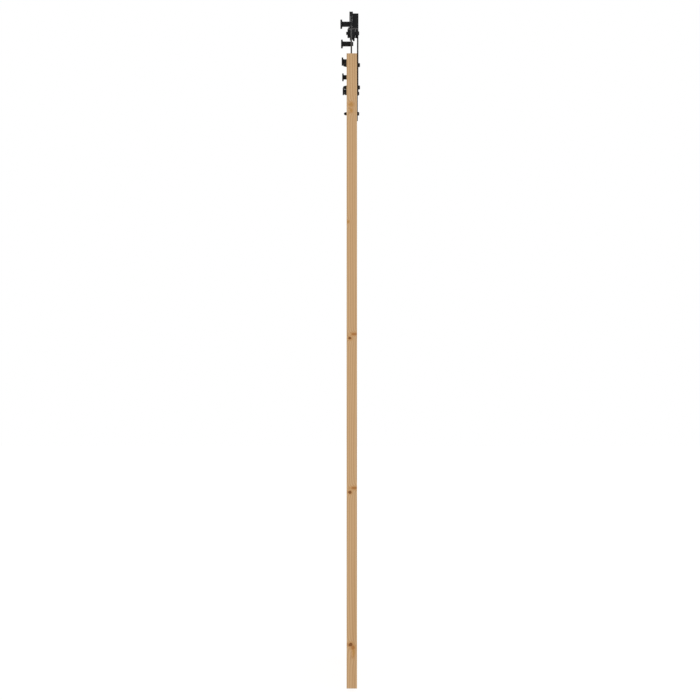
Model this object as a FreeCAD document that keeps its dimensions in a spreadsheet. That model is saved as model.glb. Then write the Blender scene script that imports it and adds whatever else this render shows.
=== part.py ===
"""Sliding barn door set: a ledged pine door that hangs by two flanged wheels on a wall-mounted flat track.

The row frame: +X runs along the track, +Y points into the wall, +Z is up. Y = 0 is the wall's face and Z = 0
the track's centre line, and the origin is the centre of the middle standoff's foot. Everything is in mm.
"""

import FreeCAD, Part
import math
import os

import Sketcher

DIMENSIONS = (
    ("rail_length", 1830.0, "flat track, overall length"),
    ("rail_height", 40.0, "flat track, height of the bar"),
    ("rail_thickness", 5.0, "flat track, thickness of the bar"),
    ("rail_corner", 2.0, "radius on the four corners of the bar"),
    ("fixing_margin", 102.2, "end of the track to the first standoff"),
    ("standoff_length", 31.75, "wall face to the back of the track"),
    ("standoff_radius", 8.3, "plain body of a standoff"),
    ("foot_radius", 14.6, "foot of a standoff, a disc on the wall"),
    ("foot_rim", 5.5, "thickness of the foot"),
    ("foot_fillet", 2.5, "hollow between the foot and the body of a standoff"),
    ("tapped_radius", 3.4, "core of an M8 female thread"),
    ("tapped_depth", 14.0, "depth of each tapped hole"),
    ("rail_bolt_radius", 4.0, "M8 bolt through the track"),
    ("rail_bolt_reach", 12.0, "thread engaged in a standoff"),
    ("rail_bolt_head_radius", 7.0, "low head of a track bolt"),
    ("rail_bolt_head_height", 4.0, "low head of a track bolt"),
    ("bolt_hole_gap", 0.4, "radial gap of a bolt in a plain hole"),
    ("thread_gap", 0.05, "radial gap drawn between two threads"),
    ("touch_gap", 0.3, "gap between faces that may move or must not bind"),
    ("rolling_radius", 21.0, "axle height above the top of the track"),
    ("groove_gap", 0.4, "each wheel flange to the side of the track"),
    ("rear_flange_depth", 4.0, "thin flange behind the track, below the tread"),
    ("rear_flange_width", 2.1, "thin flange behind the track"),
    ("front_flange_depth", 5.0, "wide flange in front of the track, below the tread"),
    ("front_flange_width", 8.1, "wide flange in front of the track"),
    ("flank_slope", 3.2, "axial run of the front flange's bevelled flank"),
    ("hub_radius", 15.5, "hub on both sides of the wheel"),
    ("hub_half_width", 13.0, "track centre plane to each hub face"),
    ("hub_round", 1.2, "rounding of the hub and flange edges"),
    ("bearing_radius", 11.0, "outside of a ball bearing"),
    ("bearing_width", 7.0, "width of a ball bearing"),
    ("bearing_bore", 4.0, "bore radius of a ball bearing"),
    ("race_radius", 7.5, "circle of the ball centres"),
    ("ball_radius", 1.98, "one ball"),
    ("ball_gap", 0.1, "ball to raceway"),
    ("land_height", 1.4, "ball circle to the edge of each raceway"),
    ("seat_gap", 0.02, "bearing in its seat"),
    ("front_recess", 0.6, "front bearing below the hub face"),
    ("rear_recess", 1.6, "rear bearing below the hub face"),
    ("web_radius", 9.0, "bore of the web between the bearings"),
    ("shaft_gap", 0.03, "shoulder of the axle in a bearing"),
    ("axle_head_radius", 6.6, "head of the shoulder screw"),
    ("axle_head_height", 5.5, "head of the shoulder screw"),
    ("axle_head_proud", 2.6, "head above the face of the strap"),
    ("axle_thread_radius", 3.0, "M6 thread behind the shoulder"),
    ("axle_washer_width", 1.0, "washer behind the rear bearing"),
    ("axle_washer_radius", 5.9, "washer behind the rear bearing"),
    ("spacer_radius", 16.0, "distance collar between wheel and strap"),
    ("spacer_boss_radius", 5.6, "collar's boss on the inner ring"),
    ("spacer_wheel_gap", 0.3, "collar to the turning hub"),
    ("nut_half_flats", 5.0, "M6 nut, half the width across flats"),
    ("nut_height", 5.0, "M6 nut"),
    ("strap_gap", 16.3, "front of the track to the back of a strap"),
    ("strap_width", 32.0, "hanger strap"),
    ("strap_thickness", 4.8, "hanger strap"),
    ("strap_tail", 25.8, "lower door bolt to the lower end of a strap"),
    ("strap_corner", 3.0, "lower corners of a strap"),
    ("upper_bolt_depth", 27.6, "top of the door to the upper door bolt"),
    ("door_bolt_spacing", 74.9, "upper to lower door bolt"),
    ("hanger_margin", 40.0, "inner edge of a stile to the axle above it"),
    ("door_bolt_radius", 3.0, "M6 bolt through the door"),
    ("door_bolt_head_radius", 6.8, "round head of a door bolt"),
    ("door_bolt_head_height", 5.4, "round head of a door bolt"),
    ("door_bolt_edge_height", 2.7, "straight edge of the round head"),
    ("door_washer_radius", 7.0, "washer on the back of the door"),
    ("door_washer_width", 1.0, "washer on the back of the door"),
    ("cap_half_flats", 5.55, "cap nut, half the width across flats"),
    ("cap_hex_height", 5.6, "hexagon of a cap nut"),
    ("cap_dome_radius", 5.2, "dome of a cap nut"),
    ("cap_overall", 11.0, "cap nut, washer face to the top of the dome"),
    ("socket_half_flats", 2.0, "hexagon socket in every screw head"),
    ("socket_depth", 2.2, "hexagon socket in every screw head"),
    ("door_width", 900.0, "door leaf"),
    ("door_height", 2100.0, "door leaf"),
    ("door_thickness", 34.5, "door leaf"),
    ("door_gap", 17.4, "bottom of the track to the top of the door"),
    ("stile_width", 120.0, "upright at each edge of the door"),
    ("top_rail_height", 120.0, "top rail of the door"),
    ("middle_rail_height", 140.0, "middle rail of the door"),
    ("bottom_rail_height", 160.0, "bottom rail of the door"),
    ("panel_recess", 8.0, "back of the door to the back of the boards"),
    ("board_thickness", 14.0, "tongue and groove board"),
    ("groove_depth", 12.0, "groove in the frame for the boards"),
    ("board_entry", 11.0, "how far the boards enter the frame"),
    ("tongue_length", 5.0, "tongue of a board"),
    ("tongue_thickness", 5.0, "tongue of a board"),
    ("board_bevel", 2.0, "bevel on the front edges of a board"),
    ("wood_gap", 0.2, "fitting gap in the joinery"),
    ("brace_end", 150.0, "upright cut at each end of a brace"),
    ("dowel_radius", 5.0, "dowel in a corner joint"),
    ("dowel_margin", 10.0, "end of a dowel to the line of the door bolts"),
    ("dowel_offset", 32.0, "dowels above and below a rail's middle"),
    ("stop_inset", 51.0, "end of the track to the middle of a stop"),
    ("stop_width", 25.0, "end stop along the track"),
    ("stop_reach", 19.7, "end stop in front of the track"),
    ("stop_rise", 3.4, "front block above the top of the track"),
    ("stop_hang", 1.8, "front block below the bottom of the track"),
    ("saddle_crown", 9.0, "saddle above the top of the track"),
    ("saddle_wall", 3.2, "saddle behind the track"),
    ("toe_reach", 4.0, "toe at the foot of the saddle's rear leg, behind the leg"),
    ("toe_height", 3.8, "toe at the foot of the saddle's rear leg"),
    ("saddle_front", 2.5, "saddle in front of the track"),
    ("stop_fit", 0.2, "end stop to the track"),
    ("stop_round", 1.0, "edges of an end stop's front block"),
    ("stop_screw_radius", 3.0, "M6 set screw"),
    ("stop_screw_offset", 11.0, "set screws above and below the middle"),
    ("stop_screw_sunk", 0.6, "set screw below the block's face"),
    ("bumper_width", 6.0, "rubber bumper along the track"),
    ("bumper_margin", 1.5, "bumper inside the outline of the block"),
)
SHEET_NAME = "Sizes"

FIXING_COUNT = 5
BOARD_COUNT = 6
BALL_COUNT = 7
SIDES = (("left", -1), ("right", 1))


class Size:
    """A length in mm with its present value and the spreadsheet expression that it comes from."""

    def __init__(self, text, value):
        self.text = text
        self.value = float(value)

    @staticmethod
    def of(other):
        """Returns a Size for a Size or a plain number."""
        if isinstance(other, Size):
            return other
        return Size(repr(float(other)), other)

    def _join(self, sign, other, value):
        return Size(f"({self.text} {sign} {other.text})", value)

    def __add__(self, other):
        other = Size.of(other)
        return self._join("+", other, self.value + other.value)

    def __sub__(self, other):
        other = Size.of(other)
        return self._join("-", other, self.value - other.value)

    def __mul__(self, other):
        other = Size.of(other)
        return self._join("*", other, self.value * other.value)

    def __truediv__(self, other):
        other = Size.of(other)
        return self._join("/", other, self.value / other.value)

    def __neg__(self):
        return Size(f"(0 - {self.text})", -self.value)

    def root(self):
        """Returns the square root, as a Size."""
        return Size(f"sqrt({self.text})", math.sqrt(self.value))


ZERO = Size("0", 0.0)


class Dimensions:
    """The driving dimensions, one attribute of type Size for each alias of the spreadsheet."""

    def __init__(self, document):
        sheet = document.addObject("Spreadsheet::Sheet", SHEET_NAME)
        for row, (alias, value, note) in enumerate(DIMENSIONS, 1):
            sheet.set(f"A{row}", alias.replace("_", " "))
            sheet.set(f"B{row}", str(value))
            sheet.setAlias(f"B{row}", alias)
            sheet.set(f"C{row}", note)
            setattr(self, alias, Size(f"{SHEET_NAME}.{alias}", value))


# ---------------------------------------------------------------- general helpers


def bind(obj, name, length):
    """Ties a property of an object to the sheet."""
    length = Size.of(length)
    obj.setExpression(name, length.text)


def place(obj, x=ZERO, y=ZERO, z=ZERO):
    """Ties the position of a sub-part to the sheet."""
    for axis, length in (("x", x), ("y", y), ("z", z)):
        bind(obj, f"Placement.Base.{axis}", length)


def origin_feature(body, role):
    """Returns one of a body's own origin planes or axes."""
    return next(f for f in body.Origin.OriginFeatures if f.Role == role)


def new_body(document, label):
    """Adds an empty body with its own label."""
    body = document.addObject("PartDesign::Body", label)
    body.Label = label
    return body


def line(x, y):
    """A straight step of an outline, to the corner (x, y)."""
    return ("line", Size.of(x), Size.of(y), None, None)


def arc(x, y, centre_x, centre_y, turn):
    """A round step of an outline, to (x, y) about a centre; turn is 1 anticlockwise, -1 clockwise."""
    return ("arc", Size.of(x), Size.of(y), (Size.of(centre_x), Size.of(centre_y)), turn)


def new_sketch(body, role, name, offset=None):
    """Adds a sketch on one of the body's origin planes, moved along the plane's normal by offset."""
    sketch = body.newObject("Sketcher::SketchObject", name)
    sketch.AttachmentSupport = (origin_feature(body, role), [""])
    sketch.MapMode = "FlatFace"
    if offset is not None:
        sketch.AttachmentOffset = FreeCAD.Placement(FreeCAD.Vector(0, 0, offset.value), FreeCAD.Rotation())
        bind(sketch, "AttachmentOffset.Base.z", offset)
    return sketch


def fix_point(sketch, curve, end, x, y):
    """Ties a point of a sketch to the sheet by its two coordinates."""
    for kind, length in (("DistanceX", x), ("DistanceY", y)):
        index = sketch.addConstraint(Sketcher.Constraint(kind, -1, 1, curve, end, length.value))
        if length.text != ZERO.text:
            sketch.setExpression(f"Constraints[{index}]", length.text)


def arc_curve(start, step):
    """Returns the curve of a round step from start, and which of its ends comes first."""
    _, x, y, (centre_x, centre_y), turn = step
    centre = FreeCAD.Vector(centre_x.value, centre_y.value, 0)
    first = FreeCAD.Vector(start[0].value, start[1].value, 0) - centre
    last = FreeCAD.Vector(x.value, y.value, 0) - centre
    angles = [math.atan2(v.y, v.x) for v in (first, last)]
    if turn < 0:
        angles.reverse()
    circle = Part.Circle(centre, FreeCAD.Vector(0, 0, 1), first.Length)
    return Part.ArcOfCircle(circle, angles[0], angles[1]), (1 if turn > 0 else 2)


def draw_outline(sketch, steps):
    """Draws a closed outline whose corners and arc centres are tied to the sheet.

    The outline starts and ends at the last step's corner.
    """
    start = (steps[-1][1], steps[-1][2])
    ends = []
    corner = start
    for step in steps:
        kind, x, y, centre, _ = step
        if kind == "line":
            first = FreeCAD.Vector(corner[0].value, corner[1].value, 0)
            last = FreeCAD.Vector(x.value, y.value, 0)
            curve = sketch.addGeometry(Part.LineSegment(first, last), False)
            entry = 1
        else:
            shape, entry = arc_curve(corner, step)
            curve = sketch.addGeometry(shape, False)
        ends.append((curve, entry, 3 - entry))
        corner = (x, y)
    for (curve, _, leave), (follower, entry, _) in zip(ends, ends[1:] + ends[:1]):
        sketch.addConstraint(Sketcher.Constraint("Coincident", curve, leave, follower, entry))
    corner = start
    for (curve, entry, _), (kind, x, y, centre, _) in zip(ends, steps):
        fix_point(sketch, curve, entry, corner[0], corner[1])
        if kind == "arc":
            upright = abs(y.value - corner[1].value) > abs(x.value - corner[0].value)
            label, length = ("DistanceX", centre[0]) if upright else ("DistanceY", centre[1])
            index = sketch.addConstraint(Sketcher.Constraint(label, -1, 1, curve, 3, length.value))
            if length.text != ZERO.text:
                sketch.setExpression(f"Constraints[{index}]", length.text)
        corner = (x, y)


def draw_circle(sketch, x, y, radius):
    """Draws a full circle whose centre and radius are tied to the sheet."""
    centre = FreeCAD.Vector(x.value, y.value, 0)
    curve = sketch.addGeometry(Part.Circle(centre, FreeCAD.Vector(0, 0, 1), radius.value), False)
    fix_point(sketch, curve, 3, x, y)
    index = sketch.addConstraint(Sketcher.Constraint("Radius", curve, radius.value))
    sketch.setExpression(f"Constraints[{index}]", radius.text)


def rectangle(low_x, low_y, high_x, high_y):
    """The four corners of an upright rectangle, as an outline."""
    return [line(high_x, low_y), line(high_x, high_y), line(low_x, high_y), line(low_x, low_y)]


def hexagon(half_flats):
    """A regular hexagon about the sketch's origin, as an outline."""
    corner_radius = half_flats * (2.0 / math.sqrt(3.0))
    steps = []
    for k in range(6):
        angle = math.radians(60.0 * k)
        steps.append(line(corner_radius * math.cos(angle), corner_radius * math.sin(angle)))
    return steps


def pad(body, name, steps, length, role="XZ_Plane", offset=None, reverse=False):
    """Adds a padded outline. On the XZ plane it grows towards -Y, or towards +Y when reversed."""
    sketch = new_sketch(body, role, f"{name}_outline", offset)
    draw_outline(sketch, steps)
    feature = body.newObject("PartDesign::Pad", name)
    feature.Profile = sketch
    feature.Reversed = reverse
    bind(feature, "Length", length)
    return feature


def turn(body, name, steps):
    """Adds a turned piece: the outline's x is the radius, and its y lies along the body's Y axis."""
    sketch = new_sketch(body, "XY_Plane", f"{name}_outline")
    draw_outline(sketch, steps)
    feature = body.newObject("PartDesign::Revolution", name)
    feature.Profile = sketch
    feature.ReferenceAxis = (sketch, ["V_Axis"])
    feature.Angle = 360.0
    return feature


def checked_cut(body, feature, volume):
    """Recomputes a cut and makes sure that it took material away."""
    body.Document.recompute()
    if not feature.Shape.Volume < volume - 1e-6:
        raise RuntimeError(f"{body.Label}: {feature.Label} cuts nothing")
    return feature


def turned_cut(body, name, steps):
    """Cuts a turned recess about the body's Y axis."""
    body.Document.recompute()
    volume = body.Shape.Volume
    sketch = new_sketch(body, "XY_Plane", f"{name}_outline")
    draw_outline(sketch, steps)
    feature = body.newObject("PartDesign::Groove", name)
    feature.Profile = sketch
    feature.ReferenceAxis = (sketch, ["V_Axis"])
    feature.Angle = 360.0
    return checked_cut(body, feature, volume)


def through_holes(body, name, circles):
    """Cuts round holes along Y, right through; each circle is (x, z, radius)."""
    body.Document.recompute()
    volume = body.Shape.Volume
    sketch = new_sketch(body, "XZ_Plane", f"{name}_outline")
    for x, z, radius in circles:
        draw_circle(sketch, Size.of(x), Size.of(z), radius)
    feature = body.newObject("PartDesign::Pocket", name)
    feature.Profile = sketch
    feature.Type = "ThroughAll"
    feature.Midplane = True
    return checked_cut(body, feature, volume)


def hex_socket(body, dim, face_y):
    """Cuts the hexagon socket into a screw head whose face, towards -Y, is at face_y."""
    body.Document.recompute()
    volume = body.Shape.Volume
    sketch = new_sketch(body, "XZ_Plane", "socket_outline", -face_y)
    draw_outline(sketch, hexagon(dim.socket_half_flats))
    feature = body.newObject("PartDesign::Pocket", "socket")
    feature.Profile = sketch
    bind(feature, "Length", dim.socket_depth)
    return checked_cut(body, feature, volume)


def edges_along(shape, axis, keep):
    """Names the straight edges of a shape that lie along an axis and whose middle passes the test keep."""
    names = []
    for number, edge in enumerate(shape.Edges, 1):
        if not isinstance(edge.Curve, Part.Line):
            continue
        direction = edge.Curve.Direction
        if abs(abs(direction.dot(axis)) - 1.0) < 1e-6 and keep(edge.CenterOfMass):
            names.append(f"Edge{number}")
    return names


def round_edges(body, name, radius, axis, keep):
    """Rounds the straight edges of a body that lie along an axis."""
    body.Document.recompute()
    tip = body.Tip
    feature = body.newObject("PartDesign::Fillet", name)
    feature.Base = (tip, edges_along(tip.Shape, axis, keep))
    bind(feature, "Radius", radius)
    return feature


def box(document, name, low, high):
    """Adds a box between two corners that are tied to the sheet."""
    shape = document.addObject("Part::Box", name)
    for side, low_value, high_value in zip(("Length", "Width", "Height"), low, high):
        bind(shape, side, Size.of(high_value) - Size.of(low_value))
    place(shape, Size.of(low[0]), Size.of(low[1]), Size.of(low[2]))
    return shape


def drill_along_x(document, name, radius, length, x, y, z):
    """Adds a round bar that starts at (x, y, z) and runs along +X."""
    bar = document.addObject("Part::Cylinder", name)
    bar.Placement = FreeCAD.Placement(FreeCAD.Vector(), FreeCAD.Rotation(FreeCAD.Vector(0, 1, 0), 90))
    bind(bar, "Radius", radius)
    bind(bar, "Height", length)
    place(bar, x, y, z)
    return bar


def drill_along_y(document, name, radius, length, x, y, z):
    """Adds a round bar that starts at (x, y, z) and runs along +Y."""
    bar = document.addObject("Part::Cylinder", name)
    bar.Placement = FreeCAD.Placement(FreeCAD.Vector(), FreeCAD.Rotation(FreeCAD.Vector(1, 0, 0), -90))
    bind(bar, "Radius", radius)
    bind(bar, "Height", length)
    place(bar, x, y, z)
    return bar


def joined(document, label, shapes):
    """Fuses shapes into one piece."""
    fuse = document.addObject("Part::MultiFuse", label)
    fuse.Label = label
    fuse.Shapes = shapes
    fuse.Refine = True
    return fuse


def cut_from(document, label, base, tools):
    """Cuts one or more shapes from a piece."""
    tool = tools[0] if len(tools) == 1 else joined(document, f"{label}_tools", tools)
    cut = document.addObject("Part::Cut", label)
    cut.Label = label
    cut.Base = base
    cut.Tool = tool
    cut.Refine = True
    return cut


def group(document, label, pieces):
    """Collects identical separate pieces in one node."""
    compound = document.addObject("Part::Compound", label)
    compound.Label = label
    compound.Links = pieces
    return compound


# ---------------------------------------------------------------- places that several pieces share


class Layout:
    """Positions that more than one piece is built from."""

    def __init__(self, dim):
        self.rail_back = -dim.standoff_length
        self.rail_front = self.rail_back - dim.rail_thickness
        self.rail_middle = self.rail_back - dim.rail_thickness / 2
        self.strap_back = self.rail_front - dim.strap_gap
        self.strap_front = self.strap_back - dim.strap_thickness
        self.door_front = self.strap_back
        self.door_back = self.door_front + dim.door_thickness
        self.axle_z = dim.rail_height / 2 + dim.rolling_radius
        self.door_top = -(dim.rail_height / 2 + dim.door_gap)
        self.upper_bolt_drop = self.axle_z - self.door_top + dim.upper_bolt_depth
        self.lower_bolt_drop = self.upper_bolt_drop + dim.door_bolt_spacing
        self.strap_drop = self.lower_bolt_drop + dim.strap_tail
        self.door_bottom = self.door_top - dim.door_height
        self.inner_half = dim.door_width / 2 - dim.stile_width
        self.boards_back = self.door_back - dim.panel_recess
        self.boards_front = self.boards_back - dim.board_thickness
        rails = dim.top_rail_height + dim.middle_rail_height + dim.bottom_rail_height
        self.panel_height = (dim.door_height - rails) / 2
        self.rail_spans = self._rail_spans(dim)
        self.front_ring_face = -(dim.hub_half_width - dim.front_recess)
        self.rear_ring_face = dim.hub_half_width - dim.rear_recess
        self.strap_from_middle = self.strap_back - self.rail_middle
        self.stop_x = dim.rail_length / 2 - dim.stop_inset
        self.stop_top = dim.rail_height / 2 + dim.stop_rise
        self.stop_bottom = -(dim.rail_height / 2 + dim.stop_hang)
        self.saddle_top = dim.rail_height / 2 + dim.saddle_crown
        self.fixing_pitch = (dim.rail_length - dim.fixing_margin * 2) / (FIXING_COUNT - 1)
        self.axle_reach = self.inner_half + dim.hanger_margin
        self.dowel_half_length = dim.hanger_margin - dim.dowel_margin

    def _rail_spans(self, dim):
        """Lower and upper edge of each cross rail of the door, from the bottom up."""
        bottom_top = self.door_bottom + dim.bottom_rail_height
        middle_low = bottom_top + self.panel_height
        middle_high = middle_low + dim.middle_rail_height
        top_low = middle_high + self.panel_height
        return {
            "bottom": (self.door_bottom, bottom_top),
            "middle": (middle_low, middle_high),
            "top": (top_low, self.door_top),
        }

    def axle_x(self, side):
        """Along the track, the place of the left or right axle."""
        return self.axle_reach * side

    def fixing_x(self, index):
        """Along the track, the place of the fixing with this index, from 0."""
        return self.fixing_pitch * (index - (FIXING_COUNT - 1) / 2)


# ---------------------------------------------------------------- track, standoffs and end stops


def make_rail(document, dim, spot):
    """The flat bar that the wheels run on, with a row of fixing holes."""
    body = new_body(document, "rail")
    half_length = dim.rail_length / 2
    half_height = dim.rail_height / 2
    pad(body, "bar", rectangle(-half_length, -half_height, half_length, half_height), dim.rail_thickness)
    first_hole = spot.fixing_x(0)
    hole_radius = dim.rail_bolt_radius + dim.bolt_hole_gap
    hole = through_holes(body, "fixing_hole", [(first_hole, ZERO, hole_radius)])
    row = body.newObject("PartDesign::LinearPattern", "fixing_holes")
    row.Originals = [hole]
    row.Direction = (origin_feature(body, "X_Axis"), [""])
    row.Occurrences = FIXING_COUNT
    bind(row, "Length", spot.fixing_pitch * (FIXING_COUNT - 1))
    body.Tip = row
    round_edges(body, "corners", dim.rail_corner, FreeCAD.Vector(0, 1, 0), lambda middle: True)
    place(body, ZERO, spot.rail_back, ZERO)
    return [body]


def make_standoffs(document, dim, spot):
    """Turned distance pieces with a round foot on the wall and a tapped hole in each end."""
    nodes = []
    for index in range(FIXING_COUNT):
        body = new_body(document, f"standoff_{index + 1}")
        turn(
            body,
            "turned",
            [
                line(dim.foot_radius, ZERO),
                line(dim.foot_radius, -dim.foot_rim),
                line(dim.standoff_radius + dim.foot_fillet, -dim.foot_rim),
                arc(
                    dim.standoff_radius,
                    -(dim.foot_rim + dim.foot_fillet),
                    dim.standoff_radius + dim.foot_fillet,
                    -(dim.foot_rim + dim.foot_fillet),
                    1,
                ),
                line(dim.standoff_radius, -dim.standoff_length),
                line(dim.tapped_radius, -dim.standoff_length),
                line(dim.tapped_radius, dim.tapped_depth - dim.standoff_length),
                line(ZERO, dim.tapped_depth - dim.standoff_length),
                line(ZERO, -dim.tapped_depth),
                line(dim.tapped_radius, -dim.tapped_depth),
                line(dim.tapped_radius, ZERO),
            ],
        )
        place(body, spot.fixing_x(index))
        nodes.append(body)
    return nodes


def make_rail_bolts(document, dim, spot):
    """Low-head socket bolts that clamp the track to its standoffs, as one node."""
    bolts = []
    thread = dim.tapped_radius - dim.thread_gap
    for index in range(FIXING_COUNT):
        body = new_body(document, f"rail_bolt_{index + 1}")
        edge = dim.rail_bolt_head_height / 3
        turn(
            body,
            "turned",
            [
                line(ZERO, -dim.rail_bolt_head_height),
                line(dim.rail_bolt_head_radius - edge, -dim.rail_bolt_head_height),
                arc(
                    dim.rail_bolt_head_radius,
                    edge - dim.rail_bolt_head_height,
                    dim.rail_bolt_head_radius - edge,
                    edge - dim.rail_bolt_head_height,
                    1,
                ),
                line(dim.rail_bolt_head_radius, ZERO),
                line(dim.rail_bolt_radius, ZERO),
                line(dim.rail_bolt_radius, dim.rail_thickness - dim.touch_gap),
                line(thread, dim.rail_thickness - dim.touch_gap),
                line(thread, dim.rail_thickness + dim.rail_bolt_reach),
                line(ZERO, dim.rail_thickness + dim.rail_bolt_reach),
            ],
        )
        hex_socket(body, dim, -dim.rail_bolt_head_height)
        place(body, spot.fixing_x(index), spot.rail_front)
        bolts.append(body)
    return [group(document, "rail_bolts", bolts)]


def make_stops(document, dim, spot):
    """End stops: a saddle over the track with a front block, a rubber bumper and two set screws."""
    nodes = []
    screws = []
    screw_hole = dim.stop_screw_radius + dim.thread_gap
    half_width = dim.stop_width / 2
    front_face = -dim.rail_thickness - dim.stop_reach
    for name, side in SIDES:
        body = new_body(document, f"end_stop_{name}")
        bottom = spot.stop_bottom
        inner_back = dim.stop_fit
        inner_front = -dim.rail_thickness - dim.stop_fit
        leg_back = dim.saddle_wall + dim.stop_fit
        toe_back = leg_back + dim.toe_reach
        toe_low = bottom - dim.toe_height / 2
        section = [
            line(front_face, bottom),
            line(front_face, spot.stop_top),
            line(-dim.rail_thickness - dim.saddle_front, spot.stop_top),
            line(-dim.rail_thickness - dim.saddle_front, spot.saddle_top),
            line(leg_back, spot.saddle_top),
            line(leg_back, toe_low + dim.toe_height),
            line(toe_back, toe_low + dim.toe_height),
            line(toe_back, toe_low),
            line(inner_back, toe_low),
            line(inner_back, dim.rail_height / 2 + dim.stop_fit),
            line(inner_front, dim.rail_height / 2 + dim.stop_fit),
            line(inner_front, bottom),
        ]
        pad(body, "saddle", section, dim.stop_width, role="YZ_Plane", offset=-half_width)
        holes = [(ZERO, dim.stop_screw_offset * k, screw_hole) for k in (-1, 1)]
        block_holes(body, dim, holes)
        round_edges(
            body,
            "block_edges",
            dim.stop_round,
            FreeCAD.Vector(1, 0, 0),
            lambda middle: abs(middle.y - front_face.value) < 1e-3,
        )
        place(body, spot.stop_x * side, spot.rail_back)
        bumper = new_body(document, f"bumper_{name}")
        margin = dim.bumper_margin
        pad(
            bumper,
            "pad",
            rectangle(
                front_face + margin,
                bottom + margin,
                inner_front - margin,
                spot.stop_top - margin,
            ),
            dim.bumper_width,
            role="YZ_Plane",
        )
        inner_face = spot.stop_x - half_width - dim.bumper_width
        bumper_x = inner_face if side > 0 else -(spot.stop_x - half_width)
        place(bumper, bumper_x, spot.rail_back)
        nodes += [body, bumper]
        screws += make_stop_screws(document, dim, spot, name, side)
    nodes.append(group(document, "stop_screws", screws))
    return nodes


def block_holes(body, dim, holes):
    """Cuts the set screw holes through the front block only."""
    body.Document.recompute()
    volume = body.Shape.Volume
    sketch = new_sketch(body, "XZ_Plane", "screw_hole_outline", dim.rail_thickness)
    for x, z, radius in holes:
        draw_circle(sketch, x, z, radius)
    feature = body.newObject("PartDesign::Pocket", "screw_holes")
    feature.Profile = sketch
    feature.Reversed = True
    bind(feature, "Length", dim.stop_reach + dim.stop_round)
    return checked_cut(body, feature, volume)


def make_stop_screws(document, dim, spot, name, side):
    """The two set screws of one end stop, which bear on the front of the track."""
    screws = []
    length = dim.stop_reach - dim.stop_screw_sunk
    for level, up in (("low", -1), ("high", 1)):
        body = new_body(document, f"stop_screw_{name}_{level}")
        point = dim.stop_screw_radius / 3
        turn(
            body,
            "turned",
            [
                line(dim.stop_screw_radius, -length),
                line(dim.stop_screw_radius, -point),
                line(dim.stop_screw_radius - point, ZERO),
                line(ZERO, ZERO),
                line(ZERO, -length),
            ],
        )
        hex_socket(body, dim, -length)
        place(body, spot.stop_x * side, spot.rail_front, dim.stop_screw_offset * up)
        screws.append(body)
    return screws


# ---------------------------------------------------------------- wheels and their bearings


def make_wheel(document, dim, spot, name, side):
    """A turned steel wheel: a tread between two flanges, with a hub on each side and two bearing seats."""
    body = new_body(document, f"wheel_{name}")
    tread = dim.rolling_radius - dim.touch_gap
    half_groove = dim.rail_thickness / 2 + dim.groove_gap
    slope_top = half_groove + dim.flank_slope
    front_face = half_groove + dim.front_flange_width
    rear_face = half_groove + dim.rear_flange_width
    seat = dim.bearing_radius + dim.seat_gap
    front_seat_floor = spot.front_ring_face + dim.bearing_width
    rear_seat_floor = spot.rear_ring_face - dim.bearing_width
    edge = dim.hub_round
    front_rim = dim.rolling_radius + dim.front_flange_depth
    rear_rim = dim.rolling_radius + dim.rear_flange_depth
    outline = [
        line(seat, -dim.hub_half_width),
        line(dim.hub_radius - edge, -dim.hub_half_width),
        arc(
            dim.hub_radius,
            edge - dim.hub_half_width,
            dim.hub_radius - edge,
            edge - dim.hub_half_width,
            1,
        ),
        line(dim.hub_radius, -front_face),
        line(front_rim - edge, -front_face),
        arc(
            front_rim,
            edge - front_face,
            front_rim - edge,
            edge - front_face,
            1,
        ),
        line(front_rim, -slope_top),
        line(tread, -half_groove),
        line(tread, half_groove),
        line(rear_rim, half_groove),
        line(rear_rim, rear_face),
        line(dim.hub_radius, rear_face),
        line(dim.hub_radius, dim.hub_half_width - edge),
        arc(
            dim.hub_radius - edge,
            dim.hub_half_width,
            dim.hub_radius - edge,
            dim.hub_half_width - edge,
            1,
        ),
        line(seat, dim.hub_half_width),
        line(seat, rear_seat_floor),
        line(dim.web_radius, rear_seat_floor),
        line(dim.web_radius, front_seat_floor),
        line(seat, front_seat_floor),
    ]
    turn(body, "turned", outline)
    place(body, spot.axle_x(side), spot.rail_middle, spot.axle_z)
    return [body]


def ring_outline(dim, face, rim, land, toward):
    """The section of a bearing ring with its round raceway; face is the ring's front face."""
    back = face + dim.bearing_width
    middle = face + dim.bearing_width / 2
    groove = dim.ball_radius + dim.ball_gap
    half_chord = (groove * groove - dim.land_height * dim.land_height).root()
    return [
        line(land, face),
        line(land, middle - half_chord),
        arc(land, middle + half_chord, dim.race_radius, middle, toward),
        line(land, back),
        line(rim, back),
        line(rim, face),
    ]


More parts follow.
